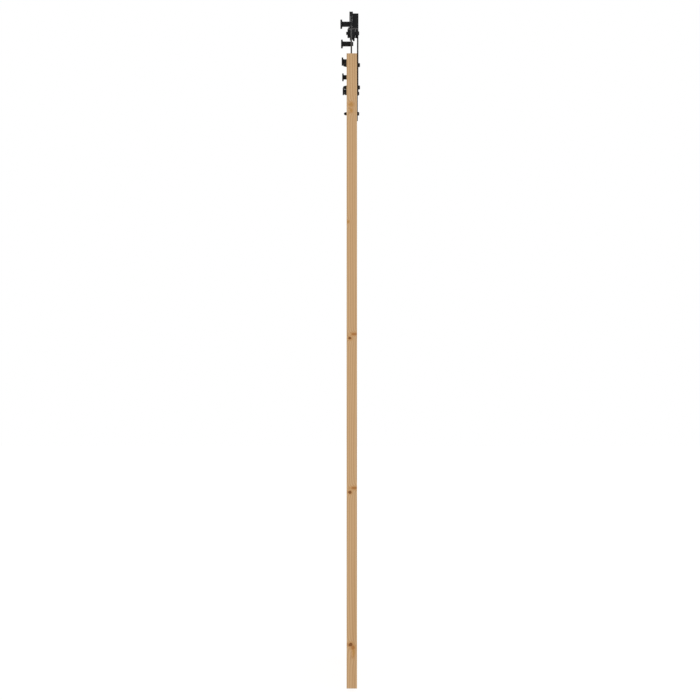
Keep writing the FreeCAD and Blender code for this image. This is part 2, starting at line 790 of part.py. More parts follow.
def make_bearings(document, dim, spot, name, side):
    """Two ball bearings of one wheel: outer rings, balls and inner rings, each kind as one node."""
    faces = {"front": spot.front_ring_face, "rear": spot.rear_ring_face - dim.bearing_width}
    where = (spot.axle_x(side), spot.rail_middle, spot.axle_z)
    inner_land = dim.race_radius - dim.land_height
    outer_land = dim.race_radius + dim.land_height
    outers = []
    inners = []
    balls = []
    for end, face in faces.items():
        outer = new_body(document, f"outer_ring_{name}_{end}")
        turn(outer, "turned", ring_outline(dim, face, dim.bearing_radius, outer_land, 1))
        place(outer, *where)
        outers.append(outer)
        inner = new_body(document, f"inner_ring_{name}_{end}")
        turn(inner, "turned", ring_outline(dim, face, dim.bearing_bore, inner_land, -1))
        place(inner, *where)
        inners.append(inner)
        for index in range(BALL_COUNT):
            angle = 2 * math.pi * index / BALL_COUNT
            ball = document.addObject("Part::Sphere", f"ball_{name}_{end}_{index + 1}")
            bind(ball, "Radius", dim.ball_radius)
            place(
                ball,
                where[0] + dim.race_radius * math.cos(angle),
                where[1] + face + dim.bearing_width / 2,
                where[2] + dim.race_radius * math.sin(angle),
            )
            balls.append(ball)
    return [
        group(document, f"bearing_outers_{name}", outers),
        group(document, f"bearing_balls_{name}", balls),
        group(document, f"bearing_inners_{name}", inners),
    ]


def make_axle(document, dim, spot, name, side):
    """The fixed axle: shoulder screw, distance collar, sleeve between the bearings, washer and nut."""
    where = (spot.axle_x(side), spot.rail_middle, spot.axle_z)
    bore = dim.bearing_bore
    strap_back = spot.strap_from_middle
    strap_front = strap_back - dim.strap_thickness
    head_top = strap_front - dim.axle_head_proud
    head_bottom = head_top + dim.axle_head_height
    rear_ring = spot.rear_ring_face
    washer_back = rear_ring + dim.axle_washer_width
    nut_back = washer_back + dim.nut_height
    edge = dim.axle_head_height / 8
    shoulder_end = rear_ring - dim.touch_gap
    thread = dim.axle_thread_radius - dim.thread_gap

    axle = new_body(document, f"axle_screw_{name}")
    turn(
        axle,
        "turned",
        [
            line(ZERO, head_top),
            line(dim.axle_head_radius - edge, head_top),
            arc(
                dim.axle_head_radius,
                head_top + edge,
                dim.axle_head_radius - edge,
                head_top + edge,
                1,
            ),
            line(dim.axle_head_radius, head_bottom),
            line(bore - dim.shaft_gap, head_bottom),
            line(bore - dim.shaft_gap, shoulder_end),
            line(thread, shoulder_end),
            line(thread, nut_back - dim.touch_gap),
            line(ZERO, nut_back - dim.touch_gap),
        ],
    )
    hex_socket(axle, dim, head_top)

    collar = new_body(document, f"distance_collar_{name}")
    hub_side = dim.spacer_wheel_gap - (-dim.hub_half_width)
    turn(
        collar,
        "turned",
        [
            line(bore, strap_back),
            line(dim.spacer_radius, strap_back),
            line(dim.spacer_radius, -hub_side),
            line(dim.spacer_boss_radius, -hub_side),
            line(dim.spacer_boss_radius, spot.front_ring_face),
            line(bore, spot.front_ring_face),
        ],
    )

    sleeve = new_body(document, f"axle_sleeve_{name}")
    turn(
        sleeve,
        "turned",
        rectangle(
            bore,
            spot.front_ring_face + dim.bearing_width,
            dim.spacer_boss_radius,
            rear_ring - dim.bearing_width,
        ),
    )

    washer = new_body(document, f"axle_washer_{name}")
    turn(
        washer,
        "turned",
        rectangle(dim.axle_thread_radius, rear_ring, dim.axle_washer_radius, washer_back),
    )

    nut = new_body(document, f"axle_nut_{name}")
    pad(nut, "hexagon", hexagon(dim.nut_half_flats), dim.nut_height, offset=-nut_back)
    through_holes(nut, "thread", [(ZERO, ZERO, dim.axle_thread_radius)])

    nodes = [axle, collar, sleeve, washer, nut]
    for node in nodes:
        place(node, *where)
    return nodes


# ---------------------------------------------------------------- hanger straps and door bolts


def make_strap(document, dim, spot, name, side):
    """A flat hanger with a round top, a counterbored axle hole and two bolt holes."""
    body = new_body(document, f"hanger_strap_{name}")
    half = dim.strap_width / 2
    outline = [
        line(half, -spot.strap_drop),
        line(half, ZERO),
        arc(-half, ZERO, ZERO, ZERO, 1),
        line(-half, -spot.strap_drop),
    ]
    pad(body, "plate", outline, dim.strap_thickness)
    recess_floor = dim.axle_head_height - dim.axle_head_proud - dim.strap_thickness
    head_hole = dim.axle_head_radius + dim.touch_gap
    turned_cut(
        body,
        "axle_seat",
        [
            line(dim.bearing_bore, dim.touch_gap),
            line(dim.bearing_bore, recess_floor),
            line(head_hole, recess_floor),
            line(head_hole, -dim.strap_thickness - dim.touch_gap),
            line(ZERO, -dim.strap_thickness - dim.touch_gap),
            line(ZERO, dim.touch_gap),
        ],
    )
    bolt_hole = dim.door_bolt_radius + dim.bolt_hole_gap
    drops = (spot.upper_bolt_drop, spot.lower_bolt_drop)
    through_holes(body, "bolt_holes", [(ZERO, -drop, bolt_hole) for drop in drops])
    low_end = -spot.strap_drop.value
    round_edges(
        body,
        "lower_corners",
        dim.strap_corner,
        FreeCAD.Vector(0, 1, 0),
        lambda middle: abs(middle.z - low_end) < 1e-3,
    )
    place(body, spot.axle_x(side), spot.strap_back, spot.axle_z)
    return [body]


def bolt_places(dim, spot):
    """The name and place, across and up, of each door bolt."""
    places = []
    for name, side in SIDES:
        for level, drop in (("upper", spot.upper_bolt_drop), ("lower", spot.lower_bolt_drop)):
            places.append((f"{name}_{level}", spot.axle_x(side), spot.axle_z - drop))
    return places


def make_door_bolts(document, dim, spot):
    """Round-head bolts through strap and door, with washers and cap nuts behind, each kind as one node."""
    bolts = []
    washers = []
    nuts = []
    shank = dim.strap_thickness + dim.door_thickness + dim.door_washer_width + dim.cap_hex_height
    rise = dim.door_bolt_head_height - dim.door_bolt_edge_height
    flat = dim.door_bolt_head_radius - rise
    dome_base = dim.cap_overall - dim.cap_dome_radius
    for label, x, z in bolt_places(dim, spot):
        bolt = new_body(document, f"door_bolt_{label}")
        turn(
            bolt,
            "turned",
            [
                line(ZERO, -dim.door_bolt_head_height),
                line(flat, -dim.door_bolt_head_height),
                arc(
                    dim.door_bolt_head_radius,
                    -dim.door_bolt_edge_height,
                    flat,
                    -dim.door_bolt_edge_height,
                    1,
                ),
                line(dim.door_bolt_head_radius, ZERO),
                line(dim.door_bolt_radius, ZERO),
                line(dim.door_bolt_radius, shank),
                line(ZERO, shank),
            ],
        )
        hex_socket(bolt, dim, -dim.door_bolt_head_height)
        place(bolt, x, spot.strap_front, z)
        bolts.append(bolt)

        washer = new_body(document, f"door_washer_{label}")
        hole = dim.door_bolt_radius + dim.bolt_hole_gap
        turn(washer, "turned", rectangle(hole, ZERO, dim.door_washer_radius, dim.door_washer_width))
        place(washer, x, spot.door_back, z)
        washers.append(washer)

        nut = new_body(document, f"cap_nut_{label}")
        pad(nut, "hexagon", hexagon(dim.cap_half_flats), dim.cap_hex_height, reverse=True)
        turn(
            nut,
            "dome",
            [
                line(dim.cap_dome_radius, ZERO),
                line(dim.cap_dome_radius, dome_base),
                arc(ZERO, dim.cap_overall, ZERO, dome_base, 1),
                line(ZERO, ZERO),
            ],
        )
        thread = dim.door_bolt_radius + dim.thread_gap
        turned_cut(
            nut,
            "thread",
            [
                line(thread, -dim.touch_gap),
                line(thread, dim.cap_hex_height + dim.touch_gap),
                line(ZERO, dim.cap_hex_height + dim.touch_gap),
                line(ZERO, -dim.touch_gap),
            ],
        )
        place(nut, x, spot.door_back + dim.door_washer_width, z)
        nuts.append(nut)
    return [
        group(document, "door_bolts", bolts),
        group(document, "door_washers", washers),
        group(document, "cap_nuts", nuts),
    ]


# ---------------------------------------------------------------- door leaf


def dowel_places(dim, spot):
    """The name and place, across and up, of the middle of each dowel."""
    places = []
    for name, side in SIDES:
        for rail, (low, high) in spot.rail_spans.items():
            middle = (low + high) / 2
            for level, up in (("low", -1), ("high", 1)):
                z = middle + dim.dowel_offset * up
                places.append((f"{rail}_{name}_{level}", spot.inner_half * side, z))
    return places


def dowel_bars(document, dim, spot, prefix, places, gap):
    """Round bars along X at the dowels' places; gap makes them holes."""
    half = spot.dowel_half_length + gap
    middle_y = (spot.boards_back + spot.boards_front) / 2
    bars = []
    for label, x, z in places:
        name = f"{prefix}_{label}"
        bars.append(drill_along_x(document, name, dim.dowel_radius + gap, half * 2, x - half, middle_y, z))
    return bars


def make_stiles(document, dim, spot):
    """The two uprights, grooved for the boards and drilled for the dowels and the door bolts."""
    nodes = []
    for name, side in SIDES:
        label = f"door_stile_{name}"
        edges = sorted((spot.inner_half * side, dim.door_width / 2 * side), key=lambda size: size.value)
        blank = box(
            document,
            f"{label}_blank",
            (edges[0], spot.door_front, spot.door_bottom),
            (edges[1], spot.door_back, spot.door_top),
        )
        inner = spot.inner_half * side
        groove_x = sorted((inner, inner + dim.groove_depth * side), key=lambda size: size.value)
        groove = box(
            document,
            f"{label}_groove",
            (groove_x[0], spot.boards_front - dim.wood_gap, spot.door_bottom),
            (groove_x[1], spot.boards_back + dim.wood_gap, spot.door_top),
        )
        tools = [groove]
        own_dowels = [p for p in dowel_places(dim, spot) if f"_{name}_" in p[0]]
        tools += dowel_bars(document, dim, spot, f"{label}_hole", own_dowels, dim.wood_gap)
        hole = dim.door_bolt_radius + dim.bolt_hole_gap
        for place_name, x, z in bolt_places(dim, spot):
            if place_name.startswith(name):
                bar = f"bolt_hole_{place_name}"
                tools.append(
                    drill_along_y(document, bar, hole, dim.door_thickness, x, spot.door_front, z)
                )
        nodes.append(cut_from(document, label, blank, tools))
    return nodes


def make_cross_rails(document, dim, spot):
    """Bottom, middle and top rail: stub tenons in the stiles' grooves, and grooves for the boards."""
    nodes = []
    groove_front = spot.boards_front - dim.wood_gap
    groove_back = spot.boards_back + dim.wood_gap
    tenon_front = spot.boards_front
    tenon_back = spot.boards_back
    reach = spot.inner_half + dim.board_entry
    shoulder = spot.inner_half
    for rail, (low, high) in spot.rail_spans.items():
        label = f"door_{rail}_rail"
        core = box(
            document,
            f"{label}_core",
            (-shoulder, spot.door_front, low),
            (shoulder, spot.door_back, high),
        )
        tenons = box(document, f"{label}_tenons", (-reach, tenon_front, low), (reach, tenon_back, high))
        blank = joined(document, f"{label}_blank", [core, tenons])
        tools = []
        if rail != "bottom":
            tools.append(
                box(
                    document,
                    f"{label}_lower_groove",
                    (-reach, groove_front, low),
                    (reach, groove_back, low + dim.groove_depth),
                )
            )
        if rail != "top":
            tools.append(
                box(
                    document,
                    f"{label}_upper_groove",
                    (-reach, groove_front, high - dim.groove_depth),
                    (reach, groove_back, high),
                )
            )
        own_dowels = [p for p in dowel_places(dim, spot) if p[0].startswith(rail)]
        tools += dowel_bars(document, dim, spot, f"{label}_hole", own_dowels, dim.wood_gap)
        nodes.append(cut_from(document, label, blank, tools))
    return nodes


def make_dowels(document, dim, spot):
    """Beech dowels that hold the rails to the stiles, as one node."""
    bars = dowel_bars(document, dim, spot, "dowel", dowel_places(dim, spot), ZERO)
    return [group(document, "frame_dowels", bars)]


def make_boards(document, dim, spot):
    """Upright tongue and groove boards, one set below and one set above the middle rail."""
    nodes = []
    reach = spot.inner_half + dim.board_entry
    pitch = (reach * 2 - dim.tongue_length) / BOARD_COUNT
    width = pitch - dim.wood_gap
    thickness = dim.board_thickness
    half_tongue = dim.tongue_thickness / 2
    half_slot = half_tongue + dim.wood_gap
    slot_depth = dim.tongue_length + dim.wood_gap
    bevel = dim.board_bevel
    spans = spot.rail_spans
    panels = {
        "lower": (spans["bottom"][1], spans["middle"][0]),
        "upper": (spans["middle"][1], spans["top"][0]),
    }
    outline = [
        line(width, ZERO),
        line(width, half_tongue - thickness / 2),
        line(width + dim.tongue_length, half_tongue - thickness / 2),
        line(width + dim.tongue_length, -half_tongue - thickness / 2),
        line(width, -half_tongue - thickness / 2),
        line(width, bevel - thickness),
        line(width - bevel, -thickness),
        line(bevel, -thickness),
        line(ZERO, bevel - thickness),
        line(ZERO, -half_slot - thickness / 2),
        line(slot_depth, -half_slot - thickness / 2),
        line(slot_depth, half_slot - thickness / 2),
        line(ZERO, half_slot - thickness / 2),
        line(ZERO, ZERO),
    ]
    for panel, (low, high) in panels.items():
        for index in range(BOARD_COUNT):
            body = new_body(document, f"{panel}_board_{index + 1}")
            length = high - low + dim.board_entry * 2
            pad(body, "board", outline, length, role="XY_Plane")
            place(body, pitch * index - reach, spot.boards_back, low - dim.board_entry)
            nodes.append(body)
    return nodes


def make_braces(document, dim, spot):
    """A diagonal brace in front of each set of boards, flush with the face of the frame."""
    nodes = []
    spans = spot.rail_spans
    lows = {"lower": spans["bottom"][1], "upper": spans["middle"][1]}
    half = spot.inner_half - dim.wood_gap
    low_edge = dim.wood_gap
    high_edge = spot.panel_height - dim.wood_gap
    thickness = spot.boards_front - spot.door_front
    for panel, low in lows.items():
        body = new_body(document, f"{panel}_brace")
        outline = [
            line(half, high_edge - dim.brace_end),
            line(half, high_edge),
            line(-half, low_edge + dim.brace_end),
            line(-half, low_edge),
        ]
        pad(body, "brace", outline, thickness)
        place(body, ZERO, spot.boards_front, low)
        nodes.append(body)
    return nodes


# ---------------------------------------------------------------- the whole set


def build(document):
    """Builds every piece and returns the nodes, in order."""
    dim = Dimensions(document)
    document.recompute()
    spot = Layout(dim)
    nodes = make_rail(document, dim, spot)
    nodes += make_standoffs(document, dim, spot)
    nodes += make_rail_bolts(document, dim, spot)
    nodes += make_stops(document, dim, spot)
    for name, side in SIDES:
        nodes += make_wheel(document, dim, spot, name, side)
        nodes += make_bearings(document, dim, spot, name, side)
        nodes += make_axle(document, dim, spot, name, side)
        nodes += make_strap(document, dim, spot, name, side)
    nodes += make_door_bolts(document, dim, spot)
    nodes += make_stiles(document, dim, spot)
    nodes += make_cross_rails(document, dim, spot)
    nodes += make_dowels(document, dim, spot)
    nodes += make_boards(document, dim, spot)
    nodes += make_braces(document, dim, spot)
    document.recompute()
    return nodes


def check(document, nodes):
    """Stops the build if any object failed or any node has no sound solid."""
    failed = [o.Label for o in document.Objects if "Invalid" in o.State or "Error" in o.State]
    if failed:
        raise RuntimeError(f"these objects failed: {failed}")
    for node in nodes:
        if node.Shape.isNull() or not node.Shape.isValid() or not node.Shape.Solids:
            raise RuntimeError(f"{node.Label} has no valid solid")
    labels = [node.Label for node in nodes]
    if len(set(labels)) != len(labels):
        raise RuntimeError("two nodes share a label")


def main():
    """Builds the set, checks it and writes one STEP file for each node."""
    document = FreeCAD.newDocument("sliding_door_set")
    nodes = build(document)
    check(document, nodes)
    os.makedirs("parts", exist_ok=True)
    for node in nodes:
        node.Shape.exportStep(f"parts/{node.Label}.step")
    print(f"{len(nodes)} nodes written")


main()
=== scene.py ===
"""Looks of a sliding barn door set: a pine leaf hung by two flanged wheels on a flat wall track.

Everything is in metres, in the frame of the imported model: +X along the track, +Y into the wall, +Z up. Each
sub-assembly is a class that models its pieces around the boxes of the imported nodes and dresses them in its
finish.
"""

import logging
import math
import random
from collections.abc import Callable, Iterable, Sequence
from dataclasses import dataclass, field
from enum import Enum
from typing import Union

import bpy
from mathutils import Matrix, Vector


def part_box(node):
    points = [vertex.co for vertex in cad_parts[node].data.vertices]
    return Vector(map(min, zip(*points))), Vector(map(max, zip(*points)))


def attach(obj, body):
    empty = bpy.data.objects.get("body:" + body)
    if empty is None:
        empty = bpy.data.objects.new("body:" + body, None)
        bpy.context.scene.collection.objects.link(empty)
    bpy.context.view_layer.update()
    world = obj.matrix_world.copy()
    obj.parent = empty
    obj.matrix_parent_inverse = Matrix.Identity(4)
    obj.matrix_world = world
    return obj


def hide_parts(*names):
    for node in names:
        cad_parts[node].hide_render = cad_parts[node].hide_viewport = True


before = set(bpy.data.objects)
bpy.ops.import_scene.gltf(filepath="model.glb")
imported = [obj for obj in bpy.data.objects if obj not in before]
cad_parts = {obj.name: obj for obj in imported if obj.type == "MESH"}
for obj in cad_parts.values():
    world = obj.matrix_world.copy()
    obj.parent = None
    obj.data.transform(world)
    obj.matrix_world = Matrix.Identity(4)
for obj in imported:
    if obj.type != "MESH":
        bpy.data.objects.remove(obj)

LOG = logging.getLogger("sliding_door")
SIDES = ("left", "right")
LEVELS = ("bottom", "middle", "top")
PANELS = ("lower", "upper")
BOARD_COUNT = 6
FIXING_COUNT = 5
FULL_TURN = 2.0 * math.pi
SIXTH_HALF = math.pi / 6
SMOOTH_BELOW = 32.0
MERGE_BELOW = 2e-6
NUT_CHAMFER = 0.0006
NUT_FACE_SHARE = 0.47
KNOT_SEED = 1000
DOWEL_SEED = 77
ORIGIN = (0.0, 0.0, 0.0)
UNIT = (1.0, 1.0, 1.0)
WHITE = (1.0, 1.0, 1.0, 1.0)

Piece = bpy.types.Object
Outline = Sequence[tuple[float, float]]
Number = Union[float, "Signal"]
Colour = tuple[float, float, float]


class Way(Enum):
    """The axis that a piece, or the grain of its wood, runs along."""

    X = (1.0, 0.0, 0.0)
    Y = (0.0, 1.0, 0.0)
    Z = (0.0, 0.0, 1.0)

    @property
    def index(self) -> int:
        """The axis as an index into a point."""
        return self.value.index(1.0)


class Growth(Enum):
    """What a knot is: dead and dark brown, live and red-brown, or only a warm tint over a buried branch."""

    DEAD = "dead"
    LIVE = "live"
    BURIED = "buried"


class Slot(Enum):
    """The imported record's material slots for the pieces that are modelled here."""

    PINE = "pine"
    BLACK = "black_steel"
    RUBBER = "bumper_rubber"


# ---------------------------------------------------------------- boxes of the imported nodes


@dataclass(frozen=True)
class Box:
    """The lowest and highest corner of a node at rest."""

    low: Vector
    high: Vector

    @staticmethod
    def of(node: str) -> "Box":
        """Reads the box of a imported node."""
        low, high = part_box(node)
        return Box(Vector(low), Vector(high))

    @property
    def middle(self) -> Vector:
        """The centre of the box."""
        return (self.low + self.high) / 2

    @property
    def size(self) -> Vector:
        """The three side lengths."""
        return self.high - self.low


def along_track(distance: float) -> Vector:
    """A step along the track, to the right."""
    return Vector((distance, 0.0, 0.0))


def to_wall(distance: float) -> Vector:
    """A step square to the track, towards the wall."""
    return Vector((0.0, distance, 0.0))


def apart(kind: str) -> Vector:
    """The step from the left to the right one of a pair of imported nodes."""
    left, right = (Box.of(f"{kind}_{side}").middle.x for side in SIDES)
    return along_track(right - left)


def strap_bolt_places() -> list[Vector]:
    """Finds the bolts that hold the straps to the leaf.

    Returns:
        The four axes, as points at Y = 0: left before right, low before high.
    """
    box, inset = Box.of("door_bolts"), DoorFasteners.head_radius
    return [
        Vector((x, 0.0, z))
        for x in (box.low.x + inset, box.high.x - inset)
        for z in (box.low.z + inset, box.high.z - inset)
    ]


# ---------------------------------------------------------------- modelling by operator


def deselect() -> None:
    """Leaves object mode with nothing selected."""
    if bpy.context.object and bpy.context.object.mode != "OBJECT":
        bpy.ops.object.mode_set(mode="OBJECT")
    bpy.ops.object.select_all(action="DESELECT")


def activate(piece: Piece) -> None:
    """Makes a piece the only selected one, and active.

    Args:
        piece: The piece to work on next.
    """
    deselect()
    piece.select_set(True)
    bpy.context.view_layer.objects.active = piece


def settle(piece: Piece) -> None:
    """Moves a piece's place, turn and scale into its mesh."""
    activate(piece)
    bpy.ops.object.transform_apply(location=True, rotation=True, scale=True)


def tidy_normals(piece: Piece) -> None:
    """Merges doubled points and turns every face outwards.

    Args:
        piece: The piece to clean.
    """
    activate(piece)
    bpy.ops.object.mode_set(mode="EDIT")
    bpy.ops.mesh.select_all(action="SELECT")
    bpy.ops.mesh.remove_doubles(threshold=MERGE_BELOW)
    bpy.ops.mesh.normals_make_consistent(inside=False)
    bpy.ops.object.mode_set(mode="OBJECT")


def named(piece: Piece, name: str) -> Piece:
    """Names a piece and its mesh."""
    piece.name = piece.data.name = name
    return piece


def drawn_line(name: str, points: Sequence[Vector]) -> Piece:
    """Draws a chain of edges by extruding one point from place to place.

    Args:
        name: The name of the new piece.
        points: The places that the chain passes through, in order.

    Returns:
        The piece, left in edit mode with all of it selected.
    """
    deselect()
    bpy.ops.mesh.primitive_plane_add(size=0.001, location=ORIGIN)
    piece = named(bpy.context.object, name)
    bpy.ops.object.mode_set(mode="EDIT")
    bpy.ops.mesh.select_mode(type="VERT")
    bpy.ops.mesh.select_all(action="SELECT")
    bpy.ops.mesh.merge(type="CENTER")
    bpy.ops.transform.translate(value=points[0])
    for here, there in zip(points, points[1:]):
        bpy.ops.mesh.extrude_region_move(TRANSFORM_OT_translate={"value": there - here})
    bpy.ops.mesh.select_all(action="SELECT")
    return piece


def turned(name: str, outline: Outline, centre: Vector, steps: int = 64) -> Piece:
    """Spins an outline about an axis along Y.

    Args:
        name: The name of the new piece.
        outline: Pairs of radius and place along Y, counted from the centre. A ring repeats its first pair.
        centre: A point on the axis.
        steps: How many facets the full turn has.

    Returns:
        The closed turned piece.
    """
    piece = drawn_line(name, [centre + Vector((radius, along, 0.0)) for radius, along in outline])
    bpy.ops.mesh.spin(steps=steps, angle=FULL_TURN, center=centre, axis=Way.Y.value)
    tidy_normals(piece)
    return piece


def prism(name: str, points: Sequence[Vector], run: Vector) -> Piece:
    """Fills a closed outline and extrudes it.

    Args:
        name: The name of the new piece.
        points: The corners of the outline.
        run: The direction and length of the extrusion.

    Returns:
        The closed prism.
    """
    piece = drawn_line(name, points)
    bpy.ops.mesh.edge_face_add()
    bpy.ops.mesh.extrude_region_move(TRANSFORM_OT_translate={"value": run})
    tidy_normals(piece)
    return piece


def block(name: str, low: Vector, high: Vector) -> Piece:
    """Adds a box, as the start of a piece or as a cutter.

    Args:
        name: The name of the new piece.
        low: Its lowest corner.
        high: Its highest corner.

    Returns:
        The box.
    """
    deselect()
    bpy.ops.mesh.primitive_cube_add(size=1.0, location=(low + high) / 2, scale=high - low)
    piece = named(bpy.context.object, name)
    settle(piece)
    return piece


def rod(centre: Vector, radius: float, length: float, way: Way, sides: int = 48, turn: float = 0.0) -> Piece:
    """Adds a round or many-sided bar, as a cutter or as the start of a piece.

    Args:
        centre: The middle of the bar.
        radius: From the axis to the corners.
        length: Along the axis.
        way: The axis.
        sides: How many flat sides stand for the round.
        turn: A turn about the axis before the bar is laid along it, in radians.

    Returns:
        The bar.
    """
    deselect()
    lay = {Way.X: (0.0, math.pi / 2, 0.0), Way.Y: (math.pi / 2, turn, 0.0), Way.Z: (0.0, 0.0, turn)}[way]
    bpy.ops.mesh.primitive_cylinder_add(
        vertices=sides, radius=radius, depth=length, location=centre, rotation=lay
    )
    piece = bpy.context.object
    settle(piece)
    return piece


def bore_cutter(box: Box, x: float, z: float, radius: float) -> Piece:
    """A round bar along Y that goes right through a box, to cut a hole."""
    return rod(Vector((x, box.middle.y, z)), radius, box.size.y * 2, Way.Y)


def apply_modifier(piece: Piece, kind: str, **settings: object) -> None:
    """Adds a modifier and applies it.

    Args:
        piece: The piece that changes.
        kind: The modifier's type.
        settings: Its settings.
    """
    activate(piece)
    modifier = piece.modifiers.new(kind.lower(), kind)
    for key, value in settings.items():
        setattr(modifier, key, value)
    bpy.ops.object.modifier_apply(modifier=modifier.name)


def carve(piece: Piece, tools: Iterable[Piece], operation: str = "DIFFERENCE") -> Piece:
    """Cuts tools from a piece, or joins them to it, and takes the tools away.

    Args:
        piece: The piece that changes.
        tools: Closed shapes.
        operation: DIFFERENCE, UNION or INTERSECT.

    Returns:
        The same piece.
    """
    for tool in tools:
        apply_modifier(piece, "BOOLEAN", object=tool, operation=operation, solver="EXACT")
        bpy.data.objects.remove(tool, do_unlink=True)
    return piece


def smooth(piece: Piece) -> Piece:
    """Shades a piece smooth but for its sharp edges, with flat faces kept flat.

    Args:
        piece: The piece to shade.

    Returns:
        The same piece.
    """
    activate(piece)
    bpy.ops.object.shade_smooth_by_angle(angle=math.radians(SMOOTH_BELOW))
    apply_modifier(piece, "WEIGHTED_NORMAL", mode="FACE_AREA", weight=50, keep_sharp=True)
    return piece


def soften(piece: Piece, width: float, segments: int = 2, angle: float = 30.0) -> Piece:
    """Rounds the sharp edges of a piece a little and shades it smooth by angle.

    Args:
        piece: The piece to finish.
        width: The width of the rounding.
        segments: How many facets the rounding has.
        angle: Edges sharper than this, in degrees, are rounded.

    Returns:
        The same piece.
    """
    apply_modifier(
        piece,
        "BEVEL",
        width=width,
        segments=segments,
        limit_method="ANGLE",
        angle_limit=math.radians(angle),
        use_clamp_overlap=True,
    )
    return smooth(piece)


def copy_of(piece: Piece, name: str, shift: Vector) -> Piece:
    """Copies a piece, with a mesh of its own, to another place.

    Args:
        piece: The piece to copy.
        name: The copy's name.
        shift: The way from the piece to its copy.

    Returns:
        The copy.
    """
    mesh = piece.data.copy()
    mesh.name = name
    mesh.transform(Matrix.Translation(shift))
    twin = bpy.data.objects.new(name, mesh)
    bpy.context.scene.collection.objects.link(twin)
    return twin


def row_of(first: Piece, name: str, steps: Iterable[Vector]) -> list[Piece]:
    """A piece and its copies, one to a step away from it, numbered from 2."""
    return [first, *(copy_of(first, f"{name}_{k}", step) for k, step in enumerate(steps, 2))]


def joined(name: str, pieces: Sequence[Piece]) -> Piece:
    """Joins separate pieces into one object.

    Args:
        name: The name of the whole.
        pieces: The pieces to join.

    Returns:
        The whole.
    """
    deselect()
    for piece in pieces:
        piece.select_set(True)
    bpy.context.view_layer.objects.active = pieces[0]
    bpy.ops.object.join()
    return named(bpy.context.object, name)


def arc(across: float, along: float, radius: float, start: float, end: float, count: int = 5) -> list:
    """Points of an arc in an outline.

    Args:
        across: The centre's first coordinate.
        along: The centre's second coordinate.
        radius: The arc's radius.
        start: The first angle, in degrees from the first axis.
        end: The last angle.
        count: How many points, both ends among them.

    Returns:
        A list of pairs.
    """
    angles = [math.radians(start + (end - start) * k / (count - 1)) for k in range(count)]
    return [(across + radius * math.cos(a), along + radius * math.sin(a)) for a in angles]


def dress(piece: Piece, material: bpy.types.Material, body: str, slot: Slot, *nodes: str) -> Piece:
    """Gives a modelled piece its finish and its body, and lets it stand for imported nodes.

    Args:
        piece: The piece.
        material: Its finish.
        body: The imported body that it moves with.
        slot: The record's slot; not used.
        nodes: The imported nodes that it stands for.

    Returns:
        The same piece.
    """
    piece.data.materials.clear()
    piece.data.materials.append(material)
    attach(piece, body)
    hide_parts(*nodes)
    return piece


# ---------------------------------------------------------------- shader maths


def _operator(operation: str, swapped: bool = False) -> Callable[["Signal", Number], "Signal"]:
    """Makes an arithmetic operator that adds a Math node.

    Args:
        operation: The node's operation.
        swapped: Whether the other value comes first.

    Returns:
        The operator, as a method of Signal.
    """

    def apply(signal: "Signal", other: Number) -> "Signal":
        """Adds the node."""
        values = (other, signal) if swapped else (signal, other)
        return signal.graph.maths(operation, *values)

    return apply


class Signal:
    """A number, colour or vector on its way through a material's nodes."""

    def __init__(self, graph: "Graph", socket: bpy.types.NodeSocket) -> None:
        """Wraps an output socket."""
        self.graph = graph
        self.socket = socket

    __add__ = __radd__ = _operator("ADD")
    __mul__ = __rmul__ = _operator("MULTIPLY")
    __sub__ = _operator("SUBTRACT")
    __truediv__ = _operator("DIVIDE")
    __rtruediv__ = _operator("DIVIDE", swapped=True)

    def fraction(self) -> "Signal":
        """The part after the decimal point."""
        return self.graph.maths("FRACT", self)

    def least(self, other: Number) -> "Signal":
        """The smaller of two values."""
        return self.graph.maths("MINIMUM", self, other)

    def between(self, low: float, high: float) -> "Signal":
        """Rises smoothly from 0 at low to 1 at high, or falls where low is the larger.

        Args:
            low: Where the result is 0.
            high: Where the result is 1.

        Returns:
            The result.
        """
        return self.graph.node(
            "ShaderNodeMapRange",
            {"interpolation_type": "SMOOTHSTEP"},
            {"Value": self, "From Min": low, "From Max": high},
        )


